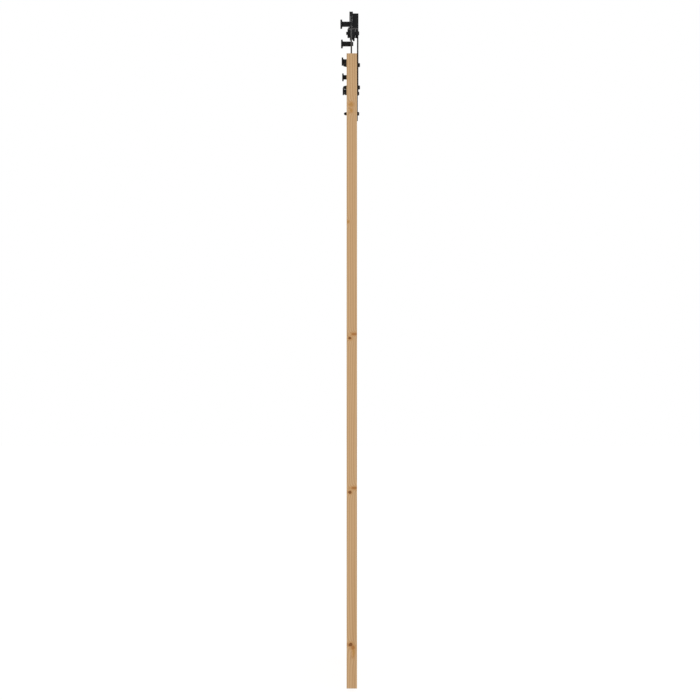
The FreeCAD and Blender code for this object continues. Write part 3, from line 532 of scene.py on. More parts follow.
class Graph:
    """A material in the making, with its Principled shader."""

    def __init__(self, name: str) -> None:
        """Starts a material.

        Args:
            name: The material's name.
        """
        self.material = bpy.data.materials.new(name)
        self.material.use_nodes = True
        self.tree = self.material.node_tree
        self.shader = self.tree.nodes["Principled BSDF"]

    def node(self, kind: str, settings: dict, sockets: dict, out: Union[int, str] = 0) -> Signal:
        """Adds a node.

        Args:
            kind: The node's type.
            settings: Its own settings, such as an operation, or a ramp's stops.
            sockets: The values or signals of its inputs, by name or index.
            out: The output wanted, by index or name.

        Returns:
            That output.
        """
        made = self.tree.nodes.new(kind)
        for key, value in settings.items():
            if key == "stops":
                self._set_stops(made.color_ramp, value)
            else:
                setattr(made, key, value)
        for key, value in sockets.items():
            if isinstance(value, Signal):
                self.tree.links.new(value.socket, made.inputs[key])
            else:
                made.inputs[key].default_value = value
        return Signal(self, made.outputs[out])

    @staticmethod
    def _set_stops(ramp: bpy.types.ColorRamp, stops: Sequence[tuple]) -> None:
        """Sets the stops of a colour ramp.

        Args:
            ramp: The ramp.
            stops: Pairs of place and colour, in order.
        """
        while len(ramp.elements) > 1:
            ramp.elements.remove(ramp.elements[-1])
        ramp.elements[0].position = stops[0][0]
        ramp.elements[0].color = (*stops[0][1], 1.0)
        for place, colour in stops[1:]:
            ramp.elements.new(place).color = (*colour, 1.0)

    def maths(self, operation: str, *values: Number) -> Signal:
        """Adds a Math node on one or more values."""
        return self.node("ShaderNodeMath", {"operation": operation}, dict(enumerate(values)))

    def place(self) -> Signal:
        """The place on the piece, in metres."""
        return self.node("ShaderNodeTexCoord", {}, {}, "Object")

    def mapped(
        self, vector: Signal, shift: Sequence = ORIGIN, turn: Sequence = ORIGIN, scale: Sequence = UNIT
    ) -> Signal:
        """Moves, turns and scales a pattern's coordinates."""
        sockets = {"Vector": vector, "Location": shift, "Rotation": turn, "Scale": scale}
        return self.node("ShaderNodeMapping", {"vector_type": "POINT"}, sockets)

    def vector(self, operation: str, first: object, second: object) -> Signal:
        """Adds a Vector Math node that gives a vector."""
        return self.node("ShaderNodeVectorMath", {"operation": operation}, {0: first, 1: second})

    def length(self, vector: Signal) -> Signal:
        """The length of a vector."""
        return self.node("ShaderNodeVectorMath", {"operation": "LENGTH"}, {0: vector}, "Value")

    def axis(self, vector: Signal, way: Way) -> Signal:
        """One coordinate of a vector."""
        return self.node("ShaderNodeSeparateXYZ", {}, {"Vector": vector}, way.name)

    def noise(self, vector: Signal, scale: float, detail: float = 2.0, out: str = "Fac") -> Signal:
        """Smooth noise, from 0 to 1."""
        sockets = {"Vector": vector, "Scale": scale, "Detail": detail}
        return self.node("ShaderNodeTexNoise", {"noise_dimensions": "3D"}, sockets, out)

    def ramp(self, value: Signal, stops: Sequence[tuple]) -> Signal:
        """A colour ramp."""
        return self.node("ShaderNodeValToRGB", {"stops": stops}, {"Fac": value}, "Color")

    def mix(self, first: object, second: object, factor: Number, blend: str = "MIX") -> Signal:
        """Mixes two colours.

        Args:
            first: The colour at factor 0, a signal or three numbers.
            second: The colour at factor 1.
            factor: The share of the second.
            blend: The way of mixing.

        Returns:
            The mixed colour.
        """
        colours = [c if isinstance(c, Signal) else (*c, 1.0) for c in (first, second)]
        settings = {"data_type": "RGBA", "blend_type": blend}
        return self.node("ShaderNodeMix", settings, {0: factor, 6: colours[0], 7: colours[1]}, 2)

    def bump(self, height: Signal, distance: float, strength: float = 1.0) -> Signal:
        """Turns a height into a surface normal."""
        sockets = {"Height": height, "Distance": distance, "Strength": strength}
        return self.node("ShaderNodeBump", {}, sockets, "Normal")

    def done(self, **sockets: object) -> bpy.types.Material:
        """Sets the shader's own sockets.

        Args:
            sockets: Values or signals by the socket's name, with _ for a space.

        Returns:
            The material.
        """
        for key, value in sockets.items():
            socket = self.shader.inputs[key.replace("_", " ")]
            if isinstance(value, Signal):
                self.tree.links.new(value.socket, socket)
            else:
                socket.default_value = value
        return self.material


# ---------------------------------------------------------------- finishes


@dataclass(frozen=True)
class PowderCoat:
    """Satin black powder coat on steel: fine orange peel, slight dust on what faces up."""

    name: str = "satin_black_coat"
    base: Colour = (0.0072, 0.0072, 0.0077)
    light: Colour = (0.0145, 0.0145, 0.0150)
    dust: Colour = (0.045, 0.044, 0.042)
    gloss: float = 0.17
    peel_scale: float = 900.0
    peel_depth: float = 0.00004

    def material(self) -> bpy.types.Material:
        """Builds the material.

        Returns:
            The material.
        """
        graph = Graph(self.name)
        place = graph.place()
        cloud = graph.noise(place, 24.0, 3.0)
        speckle = graph.noise(place, 1400.0, 1.0)
        tone = graph.mix(self.base, self.light, cloud.between(0.3, 0.75) * 0.6 + speckle * 0.3)
        facing = graph.node("ShaderNodeNewGeometry", {}, {}, "Normal")
        upward = graph.axis(facing, Way.Z).between(0.75, 1.0)
        settled = upward * graph.noise(place, 160.0, 4.0).between(0.35, 0.8) * 0.35
        peel = graph.noise(place, self.peel_scale, 2.0)
        return graph.done(
            Base_Color=graph.mix(tone, self.dust, settled),
            Roughness=0.52 + 0.14 * cloud + 0.3 * settled + 0.06 * speckle,
            Specular_IOR_Level=self.gloss,
            Normal=graph.bump(peel, self.peel_depth, 0.7),
        )


@dataclass(frozen=True)
class TurnedSteel:
    """Bare steel with the fine rings that turning or grinding leaves."""

    name: str
    centre: tuple[float, float, float]
    base: Colour = (0.56, 0.56, 0.57)
    roughness: float = 0.24
    ring_pitch: float = 0.0004
    ring_depth: float = 0.000012

    def material(self) -> bpy.types.Material:
        """Builds the material, its rings about an axis along Y through the centre.

        Returns:
            The material.
        """
        graph = Graph(self.name)
        place = graph.place()
        local = graph.mapped(place, tuple(-value for value in self.centre))
        radius = graph.length(graph.vector("MULTIPLY", local, (1.0, 0.0, 1.0)))
        along = graph.axis(local, Way.Y)
        sockets = {"X": radius / self.ring_pitch, "Y": along / self.ring_pitch}
        lines = graph.node("ShaderNodeCombineXYZ", {}, sockets)
        rings = graph.noise(lines, 1.0, 2.0)
        smear = graph.noise(place, 90.0, 3.0)
        shade = graph.mix(self.base, tuple(0.72 * value for value in self.base), rings * 0.5 + smear * 0.3)
        return graph.done(
            Base_Color=shade,
            Metallic=1.0,
            Roughness=self.roughness + 0.16 * smear + 0.08 * rings,
            Normal=graph.bump(rings, self.ring_depth, 0.6),
        )


@dataclass(frozen=True)
class Rubber:
    """Matt black moulded rubber with a soft bloom."""

    name: str = "bumper_rubber"
    base: Colour = (0.012, 0.012, 0.012)
    bloom: Colour = (0.045, 0.045, 0.043)
    grain_depth: float = 0.00003

    def material(self) -> bpy.types.Material:
        """Builds the material.

        Returns:
            The material.
        """
        graph = Graph(self.name)
        place = graph.place()
        cloud = graph.noise(place, 120.0, 5.0)
        grain = graph.noise(place, 2600.0, 2.0)
        return graph.done(
            Base_Color=graph.mix(self.base, self.bloom, cloud.between(0.45, 0.8) * 0.5),
            Roughness=0.72 + 0.16 * grain,
            Specular_IOR_Level=0.3,
            Normal=graph.bump(grain, self.grain_depth, 0.5),
        )


@dataclass(frozen=True)
class Knot:
    """A knot: the stub of a branch that runs straight into a piece of wood.

    The centre is a point on its axis, way the axis, across and tall its half sizes, and reach how far it
    runs to each side of the centre before it dwindles.
    """

    centre: tuple[float, float, float]
    way: Way
    across: float
    tall: float
    growth: Growth = Growth.LIVE
    reach: float = math.inf


KNOT_COLOURS = {
    Growth.BURIED: ((0.45, 0.245, 0.076), (0.40, 0.200, 0.056)),
    Growth.LIVE: ((0.40, 0.178, 0.050), (0.32, 0.128, 0.032)),
    Growth.DEAD: ((0.235, 0.090, 0.020), (0.150, 0.056, 0.012)),
}


@dataclass(frozen=True)
class Pine:
    """Planed, unfinished pine: growth rings about a pith line, fibres, and knots.

    The rings are a solid pattern, so the faces show long grain and the ends show arcs. slant turns the grain
    from way within the plane of the door, in radians.
    """

    name: str
    middle: tuple[float, float, float]
    way: Way
    seed: int
    knots: tuple[Knot, ...] = ()
    slant: float = 0.0
    light: Colour = (0.556, 0.366, 0.194)
    early: Colour = (0.510, 0.318, 0.158)
    late: Colour = (0.385, 0.210, 0.091)
    ring_width: float = 0.0062
    bend: float = 0.022
    swelling: float = 0.016
    wobble: float = 0.006
    plainness: float = 0.32
    gloss: float = 0.22
    relief: float = 0.00022

    def _along_grain(self, graph: Graph) -> Signal:
        """Lays coordinates along the grain, from the middle of the piece.

        Args:
            graph: The material in the making.

        Returns:
            The coordinates, whose Z runs along the grain.
        """
        local = graph.mapped(graph.place(), tuple(-value for value in self.middle))
        turn = -math.pi / 2 if self.way is Way.X else self.slant
        return graph.mapped(local, turn=(0.0, turn, 0.0)) if turn else local

    def _nearness(self, graph: Graph, knots: Sequence[Knot]) -> Signal:
        """Measures the distance to the nearest knot.

        Args:
            graph: The material in the making.
            knots: The knots that count.

        Returns:
            The distance, in units of that knot's own size.
        """
        nearest = None
        sway = graph.noise(graph.place(), 95.0, 2.0, "Color")
        place = graph.vector("ADD", graph.place(), graph.vector("MULTIPLY", sway, (self.wobble,) * 3))
        for knot in knots:
            stretch = [1.0 / knot.across, 1.0 / knot.across, 1.0 / knot.tall]
            stretch[knot.way.index] = 1.0 / knot.reach
            centre = tuple(value + self.wobble / 2 for value in knot.centre)
            offset = graph.vector("MULTIPLY", graph.vector("SUBTRACT", place, centre), tuple(stretch))
            away = graph.length(offset)
            nearest = away if nearest is None else nearest.least(away)
        return nearest

    def material(self) -> bpy.types.Material:
        """Builds the material.

        Returns:
            The material.
        """
        dice = random.Random(self.seed)
        graph = Graph(self.name)
        local = self._along_grain(graph)
        luck = tuple(dice.uniform(-20.0, 20.0) for _ in range(3))
        drift = graph.mapped(local, luck, scale=(1.0, 1.0, 0.17))
        bend = graph.vector("MULTIPLY", graph.noise(drift, 5.5, 2.0, "Color"), (self.bend, self.bend, 0.0))
        pith = (dice.uniform(-0.03, 0.03), dice.uniform(0.05, 0.11), 0.0)
        lean = (dice.uniform(-0.030, 0.030), dice.uniform(-0.016, 0.016), 0.0)
        leaning = graph.vector("MULTIPLY", graph.mapped(local, turn=lean), (1.0, 1.0, 0.0))
        radius = graph.length(graph.vector("ADD", graph.vector("ADD", leaning, pith), bend))
        if self.knots:
            away = self._nearness(graph, self.knots)
            radius = radius + self.swelling / (1.0 + away * away * 0.55)
        thickness, fibres, streaks = (
            graph.noise(graph.mapped(local, luck, scale=(across, across, along)), 1.0, detail)
            for across, along, detail in ((9.0, 0.5, 2.0), (900.0, 9.0, 3.0), (55.0, 0.8, 3.0))
        )
        ring = (radius / self.ring_width + thickness * 2.4).fraction()
        late = self.late
        stops = ((0.0, self.light), (0.45, self.early), (0.86, late), (0.93, late), (1.0, self.light))
        grain = graph.ramp(ring, stops)
        calm = graph.mix(grain, self.light, self.plainness)
        tone = graph.mix(calm, (0.80, 0.70, 0.58), streaks.between(0.45, 0.8) * 0.55, "MULTIPLY")
        tone = graph.mix(tone, (0.84, 0.78, 0.70), fibres.between(0.5, 0.85) * 0.5, "MULTIPLY")
        height = fibres * 0.5 + ring * 0.5
        rough = 0.52 + 0.14 * fibres - 0.06 * ring
        if self.knots:
            tone = graph.mix(tone, (0.90, 0.72, 0.46), away.between(2.7, 0.9) * 0.7, "MULTIPLY")
            whorl = (away * 3.2 + thickness).fraction()
            for growth, colours in KNOT_COLOURS.items():
                alike = [knot for knot in self.knots if knot.growth is growth]
                if alike:
                    cover = self._nearness(graph, alike).between(1.15, 0.8)
                    tone = graph.mix(tone, graph.mix(*colours, whorl), cover)
                    if growth is not Growth.BURIED:
                        rough = rough - 0.12 * cover
                        height = height + 0.6 * cover
        return graph.done(
            Base_Color=tone,
            Roughness=rough,
            Specular_IOR_Level=self.gloss,
            Normal=graph.bump(height, self.relief, 0.55),
        )


@dataclass(frozen=True)
class Beech(Pine):
    """Plain beech, for dowels: finer rings, with less between light and dark."""

    light: Colour = (0.60, 0.40, 0.25)
    early: Colour = (0.56, 0.36, 0.21)
    late: Colour = (0.50, 0.30, 0.17)
    ring_width: float = 0.0035


@dataclass
class Finishes:
    """The finishes that more than one piece shares, each built once."""

    coat: bpy.types.Material = field(default_factory=lambda: PowderCoat().material())
    rubber: bpy.types.Material = field(default_factory=lambda: Rubber().material())

    def coated(self, piece: Piece, body: str, *nodes: str) -> Piece:
        """Dresses a piece of coated steel."""
        return dress(piece, self.coat, body, Slot.BLACK, *nodes)


# ---------------------------------------------------------------- fasteners


@dataclass(frozen=True)
class SocketScrew:
    """A screw with its head towards the room: a rounded head with a hexagon socket, and a stepped shank.

    shank holds pairs of radius and length, from the head to the tip.
    """

    head_radius: float
    head_height: float
    crown: float
    shank: tuple[tuple[float, float], ...]
    socket_flats: float = 0.004
    socket_depth: float = 0.0022
    tip: float = 0.0005
    arris: float = 0.0002

    def model(self, name: str, seat: Vector) -> Piece:
        """Models the screw.

        Args:
            name: The piece's name.
            seat: The point on the axis where the head's underside lies.

        Returns:
            The piece.
        """
        top = -self.head_height
        flat = self.head_radius - self.crown
        outline = [(0.0, top), *arc(flat, top + self.crown, self.crown, -90.0, 0.0, 8)]
        outline.append((self.head_radius, 0.0))
        reach = 0.0
        for radius, length in self.shank:
            outline += [(radius, reach), (radius, reach + length)]
            reach += length
        last, _ = outline.pop()
        outline += [(last, reach - self.tip), (last - self.tip, reach), (0.0, reach)]
        piece = turned(name, outline, seat, 56)
        corner = self.socket_flats / math.sqrt(3.0)
        socket = rod(seat + to_wall(top), corner, self.socket_depth * 2, Way.Y, 6, SIXTH_HALF)
        return soften(carve(piece, [socket]), self.arris, 2, 40.0)


def washer(
    name: str, seat: Vector, hole: float, rim: float, thickness: float, arris: float = 0.0002
) -> Piece:
    """Models a flat washer that lies on a face towards +Y.

    Args:
        name: The piece's name.
        seat: The point on the axis where the washer starts.
        hole: The radius of its hole.
        rim: Its outer radius.
        thickness: Along the axis.
        arris: The width of the rounding on its edges.

    Returns:
        The piece.
    """
    outline = [(hole, 0.0), (rim, 0.0), (rim, thickness), (hole, thickness), (hole, 0.0)]
    return soften(turned(name, outline, seat, 48), arris)


def hexagon(name: str, seat: Vector, flats: float, height: float) -> Piece:
    """Models a hexagon along +Y whose corners are turned off at the ends, as on a nut.

    Args:
        name: The piece's name.
        seat: The point on the axis where it starts.
        flats: The width across flats.
        height: Along the axis.

    Returns:
        The piece.
    """
    corner = flats / math.sqrt(3.0)
    piece = rod(seat + to_wall(height / 2), corner, height, Way.Y, 6, SIXTH_HALF)
    piece.name = name
    face, chamfer, spare = flats * NUT_FACE_SHARE, NUT_CHAMFER, 0.001
    slope = (corner - face) / chamfer
    mouth = face - spare * slope
    waist = corner + chamfer * slope
    outline = [
        (0.0, -spare), (mouth, -spare), (waist, chamfer * 2), (waist, height - chamfer * 2),
        (mouth, height + spare), (0.0, height + spare),
    ]
    return carve(piece, [turned("envelope", outline, seat, 60)], "INTERSECT")


# ---------------------------------------------------------------- track


@dataclass
class Track:
    """The flat bar on its row of standoffs, and the bolts that hold it."""

    finishes: Finishes
    corner: float = 0.002
    arris: float = 0.0006
    hole_radius: float = 0.0044
    foot_radius: float = 0.0146
    foot_thickness: float = 0.0055
    foot_fillet: float = 0.0025
    body_radius: float = 0.0083
    core_radius: float = 0.0034
    tapped_depth: float = 0.014
    bolt: SocketScrew = SocketScrew(0.007, 0.004, 0.0013, ((0.004, 0.0047), (0.00335, 0.0123)))

    def build(self) -> list[Piece]:
        """Builds and dresses every piece.

        Returns:
            The pieces.
        """
        fixings = [Box.of(f"standoff_{k + 1}").middle.x for k in range(FIXING_COUNT)]
        steps = [along_track(x - fixings[0]) for x in fixings[1:]]
        return [self._rail(fixings), self._bolts(fixings[0], steps), *self._standoffs(fixings[0], steps)]

    def _rail(self, fixings: Sequence[float]) -> Piece:
        """Models the bar, with round corners, broken edges and its row of holes.

        Args:
            fixings: The places of the holes along the track.

        Returns:
            The bar, dressed.
        """
        box = Box.of("rail")
        piece = block("flat_track", box.low, box.high)
        bpy.ops.object.mode_set(mode="EDIT")
        bpy.ops.mesh.select_all(action="DESELECT")
        bpy.ops.object.mode_set(mode="OBJECT")
        for edge in piece.data.edges:
            first, last = (piece.data.vertices[index].co for index in edge.vertices)
            edge.select = abs(last.y - first.y) > box.size.y / 2
        bpy.ops.object.mode_set(mode="EDIT")
        bpy.ops.mesh.select_mode(type="EDGE")
        bpy.ops.mesh.bevel(offset=self.corner, segments=5)
        bpy.ops.object.mode_set(mode="OBJECT")
        carve(piece, [bore_cutter(box, x, 0.0, self.hole_radius) for x in fixings])
        return self.finishes.coated(soften(piece, self.arris, 3), "track", "rail")

    def _bolts(self, first_x: float, steps: Sequence[Vector]) -> Piece:
        """Models the row of low-head bolts, as one piece.

        Args:
            first_x: The place of the first bolt along the track.
            steps: The ways from the first bolt to the others.

        Returns:
            The bolts, dressed.
        """
        first = self.bolt.model("track_bolts", Vector((first_x, Box.of("rail").low.y, 0.0)))
        piece = joined("track_bolts", row_of(first, "track_bolt", steps))
        return self.finishes.coated(piece, "track", "rail_bolts")

    def _standoffs(self, first_x: float, steps: Sequence[Vector]) -> list[Piece]:
        """Models the turned standoffs, each with a foot on the wall and a tapped hole in both ends.

        Args:
            first_x: The place of the first standoff along the track.
            steps: The ways from the first standoff to the others.

        Returns:
            The standoffs, dressed.
        """
        length = Box.of("standoff_1").size.y
        throat = self.body_radius + self.foot_fillet
        hollow = self.foot_thickness + self.foot_fillet
        outline = [
            (0.0, -self.tapped_depth),
            (self.core_radius, -self.tapped_depth),
            (self.core_radius, 0.0),
            (self.foot_radius, 0.0),
            (self.foot_radius, -self.foot_thickness),
            *arc(throat, -hollow, self.foot_fillet, 90.0, 180.0, 6),
            (self.body_radius, -length),
            (self.core_radius, -length),
            (self.core_radius, self.tapped_depth - length),
            (0.0, self.tapped_depth - length),
        ]
        first = soften(turned("wall_standoff_1", outline, along_track(first_x)), self.arris, 3)
        pieces = row_of(first, "wall_standoff", steps)
        for k, piece in enumerate(pieces, 1):
            self.finishes.coated(piece, "track", f"standoff_{k}")
        return pieces


@dataclass
class EndStops:
    """The stops at both ends of the track: saddle, rubber bumper and two set screws each."""

    finishes: Finishes
    block_top: float = 0.0234
    block_bottom: float = -0.0218
    front_wall: float = 0.0025
    rear_wall: float = 0.0032
    fit: float = 0.0002
    toe_low: float = -0.0237
    toe_height: float = 0.0038
    screw_radius: float = 0.003
    screw_offset: float = 0.011
    screw_sunk: float = 0.0006
    hole_gap: float = 0.00005
    hex_radius: float = 0.0023
    hex_depth: float = 0.0022
    arris: float = 0.0008
    pad_round: float = 0.0018
    screw_arris: float = 0.00025

    def build(self) -> list[Piece]:
        """Builds and dresses every piece.

        Returns:
            The pieces.
        """
        stop, bumper, screws = self._stop(), self._bumper(), self._screws()
        step = apart("end_stop")
        far_screws = copy_of(screws, "far_set_screws", step)
        stops = (stop, copy_of(stop, "saddle_stop_right", step))
        bumpers = (bumper, copy_of(bumper, "stop_bumper_right", apart("bumper")))
        pieces = []
        for side, saddle, pad in zip(SIDES, stops, bumpers):
            pieces.append(self.finishes.coated(saddle, "track", f"end_stop_{side}"))
            pieces.append(dress(pad, self.finishes.rubber, "track", Slot.RUBBER, f"bumper_{side}"))
        both = joined("stop_set_screws", [screws, far_screws])
        return [*pieces, self.finishes.coated(both, "track", "stop_screws")]

    def _levels(self) -> tuple[float, float]:
        """The heights of the two set screws."""
        return -self.screw_offset, self.screw_offset

    def _stop(self) -> Piece:
        """Models the saddle over the track, with its front block and toe.

        Returns:
            The left stop.
        """
        box, rail = Box.of("end_stop_left"), Box.of("rail")
        front, back = rail.low.y - self.fit, rail.high.y + self.fit
        face, rear = rail.low.y - self.front_wall, back + self.rear_wall
        toe_top = self.toe_low + self.toe_height
        roof = rail.high.z + self.fit
        corners = [
            (box.low.y, self.block_bottom), (box.low.y, self.block_top), (face, self.block_top),
            (face, box.high.z), (rear, box.high.z), (rear, toe_top),
            (box.high.y, toe_top), (box.high.y, self.toe_low), (back, self.toe_low),
            (back, roof), (front, roof), (front, self.block_bottom),
        ]
        points = [Vector((box.low.x, y, z)) for y, z in corners]
        piece = prism("saddle_stop_left", points, along_track(box.size.x))
        middle = (box.low.y + rail.low.y) / 2
        depth = rail.low.y - box.low.y + 0.001
        radius = self.screw_radius + self.hole_gap
        holes = [rod(Vector((box.middle.x, middle, z)), radius, depth, Way.Y) for z in self._levels()]
        return soften(carve(piece, holes), self.arris, 3)

    def _bumper(self) -> Piece:
        """A rubber pad with well rounded edges."""
        box = Box.of("bumper_left")
        return soften(block("stop_bumper_left", box.low, box.high), self.pad_round, 5)

    def _screws(self) -> Piece:
        """Models the two set screws of the left stop, a socket in each.

        Returns:
            Both, as one piece.
        """
        box = Box.of("end_stop_left")
        face = box.low.y + self.screw_sunk
        length = Box.of("rail").low.y - face
        point = self.screw_radius / 3
        outline = [
            (0.0, 0.0), (self.screw_radius, 0.0), (self.screw_radius, length - point),
            (self.screw_radius - point, length), (0.0, length),
        ]
        screws = []
        for k, z in enumerate(self._levels()):
            centre = Vector((box.middle.x, face, z))
            screw = turned(f"set_screw_{k}", outline, centre, 40)
            carve(screw, [rod(centre, self.hex_radius, self.hex_depth * 2, Way.Y, 6, SIXTH_HALF)])
            screws.append(soften(screw, self.screw_arris))
        return joined("set_screws", screws)


# ---------------------------------------------------------------- wheels and hangers


@dataclass
class Wheels:
    """The two flanged wheels, turned from steel and coated, and the ball bearings inside them."""

    finishes: Finishes
    tread: float = 0.0207
    rolling: float = 0.021
    half_groove: float = 0.0029
    front_flange: float = 0.0081
    front_depth: float = 0.005
    flank: float = 0.0032
    rear_flange: float = 0.0021
    rear_depth: float = 0.004
    hub_radius: float = 0.0155
    hub_half: float = 0.013
    hub_round: float = 0.0012
    seat_radius: float = 0.01102
    web_radius: float = 0.009
    bearing_width: float = 0.007
    front_recess: float = 0.0006
    rear_recess: float = 0.0016
    arris: float = 0.0004

    def build(self) -> list[Piece]:
        """Builds and dresses both wheels, and finishes their bearings.

        Returns:
            The wheels.
        """
        left, right = (Box.of(f"wheel_{side}").middle for side in SIDES)
        centre = Vector((left.x, Box.of("rail").middle.y, left.z))
        first = self._wheel(centre)
        wheels = (first, copy_of(first, "rolling_wheel_right", apart("wheel")))
        for side, wheel, x in zip(SIDES, wheels, (left.x, right.x)):
            self.finishes.coated(wheel, f"{side}_wheel", f"wheel_{side}")
            steel = TurnedSteel(f"bearing_steel_{side}", (x, centre.y, centre.z)).material()
            for kind in ("outers", "balls", "inners"):
                paint(f"bearing_{kind}_{side}", steel)
        return list(wheels)

    def _wheel(self, centre: Vector) -> Piece:
        """Models a wheel: tread, two flanges, hubs with rounded rims, and a seat for each bearing.

        Args:
            centre: The middle of the tread, on the axle.

        Returns:
            The wheel.
        """
        front = self.half_groove + self.front_flange
        rear = self.half_groove + self.rear_flange
        front_rim = self.rolling + self.front_depth
        rear_rim = self.rolling + self.rear_depth
        edge = self.hub_round
        hub_corner = self.hub_radius - edge
        front_floor = -self.hub_half + self.front_recess + self.bearing_width
        rear_floor = self.hub_half - self.rear_recess - self.bearing_width
        outline = [
            (self.seat_radius, -self.hub_half),
            *arc(hub_corner, edge - self.hub_half, edge, -90.0, 0.0, 6),
            (self.hub_radius, -front),
            *arc(front_rim - edge, edge - front, edge, -90.0, 0.0, 6),
            (front_rim, -self.half_groove - self.flank),
            (self.tread, -self.half_groove),
            (self.tread, self.half_groove),
            (rear_rim, self.half_groove),
            (rear_rim, rear),
            (self.hub_radius, rear),
            *arc(hub_corner, self.hub_half - edge, edge, 0.0, 90.0, 6),
            (self.seat_radius, self.hub_half),
            (self.seat_radius, rear_floor),
            (self.web_radius, rear_floor),
            (self.web_radius, front_floor),
            (self.seat_radius, front_floor),
            (self.seat_radius, -self.hub_half),
        ]
        return soften(turned("rolling_wheel_left", outline, centre, 96), self.arris, 3, 38.0)


@dataclass
class Hangers:
    """The two straps, with the axle, distance collar, sleeve, washer and nut of each wheel."""

    finishes: Finishes
    arris: float = 0.0006
    corner: float = 0.003
    counterbore_radius: float = 0.0069
    head_sunk: float = 0.0029
    bolt_hole: float = 0.0034
    bore: float = 0.004
    collar_radius: float = 0.016
    boss_radius: float = 0.0056
    collar_gap: float = 0.0133
    ring_face: float = 0.0124
    nut_flats: float = 0.01
    thread_radius: float = 0.003
    collar_arris: float = 0.0004
    axle_head_radius: float = 0.0066
    axle_head_height: float = 0.0055
    axle_crown: float = 0.0007
    axle_slack: float = 0.00003
    thread_slack: float = 0.00005
    shoulder_short: float = 0.0003
    sleeve_base: Colour = (0.42, 0.42, 0.43)
    sleeve_roughness: float = 0.34

    def build(self) -> list[Piece]:
        """Builds the left hanger, copies it to the right, and dresses both.

        Returns:
            The pieces of both.
        """
        left, right = (Box.of(f"hanger_strap_{side}").middle.x for side in SIDES)
        axle = Box.of("wheel_left").middle.z
        centre = Vector((left, Box.of("rail").middle.y, axle))
        models = {
            "hanger_strap": self._strap(centre),
            "distance_collar": self._collar(centre),
            "axle_screw": self._screw(centre),
            "axle_washer": self._washer(centre),
            "axle_nut": self._nut(centre),
        }
        pieces = []
        for kind, model in models.items():
            twin = copy_of(model, f"{kind}_piece_right", apart("hanger_strap"))
            for side, piece in zip(SIDES, (model, twin)):
                pieces.append(self.finishes.coated(piece, "door", f"{kind}_{side}"))
        for side, x in zip(SIDES, (left, right)):
            place = (x, centre.y, axle)
            steel = TurnedSteel(f"plain_steel_{side}", place, self.sleeve_base, self.sleeve_roughness)
            paint(f"axle_sleeve_{side}", steel.material())
        return pieces

    def _strap(self, centre: Vector) -> Piece:
        """Models the strap: a round top about the axle, a counterbored axle hole and two bolt holes.

        Args:
            centre: The point on the left axle over the middle of the track.

        Returns:
            The left strap.
        """
        box = Box.of("hanger_strap_left")
        half = box.size.x / 2
        low, corner = box.low.z, self.corner
        outline = [
            *arc(half - corner, low + corner, corner, -90.0, 0.0, 6),
            *arc(0.0, centre.z, half, 0.0, 180.0, 33),
            *arc(corner - half, low + corner, corner, 180.0, 270.0, 6),
        ]
        points = [Vector((centre.x + x, box.high.y, z)) for x, z in outline]
        piece = prism("hanger_strap_piece_left", points, to_wall(-box.size.y))
        mouth = Vector((centre.x, box.low.y, centre.z))
        tools = [bore_cutter(box, centre.x, place.z, self.bolt_hole) for place in strap_bolt_places()[:2]]
        tools.append(bore_cutter(box, centre.x, centre.z, self.bore))
        tools.append(rod(mouth, self.counterbore_radius, self.head_sunk * 2, Way.Y))
        return soften(carve(piece, tools), self.arris, 3)

    def _collar(self, centre: Vector) -> Piece:
        """Models the distance collar, with the boss that bears on the front bearing.

        Args:
            centre: The point on the left axle over the middle of the track.

        Returns:
            The left collar.
        """
        back = Box.of("hanger_strap_left").high.y - centre.y
        outline = [
            (self.bore, back), (self.collar_radius, back), (self.collar_radius, -self.collar_gap),
            (self.boss_radius, -self.collar_gap), (self.boss_radius, -self.ring_face),
            (self.bore, -self.ring_face), (self.bore, back),
        ]
        return soften(turned("distance_collar_piece_left", outline, centre, 72), self.collar_arris, 3)

    def _screw(self, centre: Vector) -> Piece:
        """Models the shoulder screw that is the axle.

        Args:
            centre: The point on the left axle over the middle of the track.

        Returns:
            The left axle.
        """
        box = Box.of("axle_screw_left")
        head = self.axle_head_height
        seat = Vector((centre.x, box.low.y + head, centre.z))
        shoulder = Box.of("bearing_inners_left").high.y - self.shoulder_short - seat.y
        rest = box.high.y - seat.y - shoulder
        shank = ((self.bore - self.axle_slack, shoulder), (self.thread_radius - self.thread_slack, rest))
        screw = SocketScrew(self.axle_head_radius, head, self.axle_crown, shank)
        return screw.model("axle_screw_piece_left", seat)

    def _washer(self, centre: Vector) -> Piece:
        """Models the washer behind the rear bearing.

        Args:
            centre: The point on the left axle over the middle of the track.

        Returns:
            The left washer.
        """
        box = Box.of("axle_washer_left")
        seat = Vector((centre.x, box.low.y, centre.z))
        return washer("axle_washer_piece_left", seat, self.thread_radius, box.size.x / 2, box.size.y)

    def _nut(self, centre: Vector) -> Piece:
        """Models the nut on the axle.

        Args:
            centre: The point on the left axle over the middle of the track.

        Returns:
            The left nut.
        """
        box = Box.of("axle_nut_left")
        seat = Vector((centre.x, box.low.y, centre.z))
        piece = hexagon("axle_nut_piece_left", seat, self.nut_flats, box.size.y)
        return smooth(carve(piece, [bore_cutter(box, centre.x, centre.z, self.thread_radius)]))


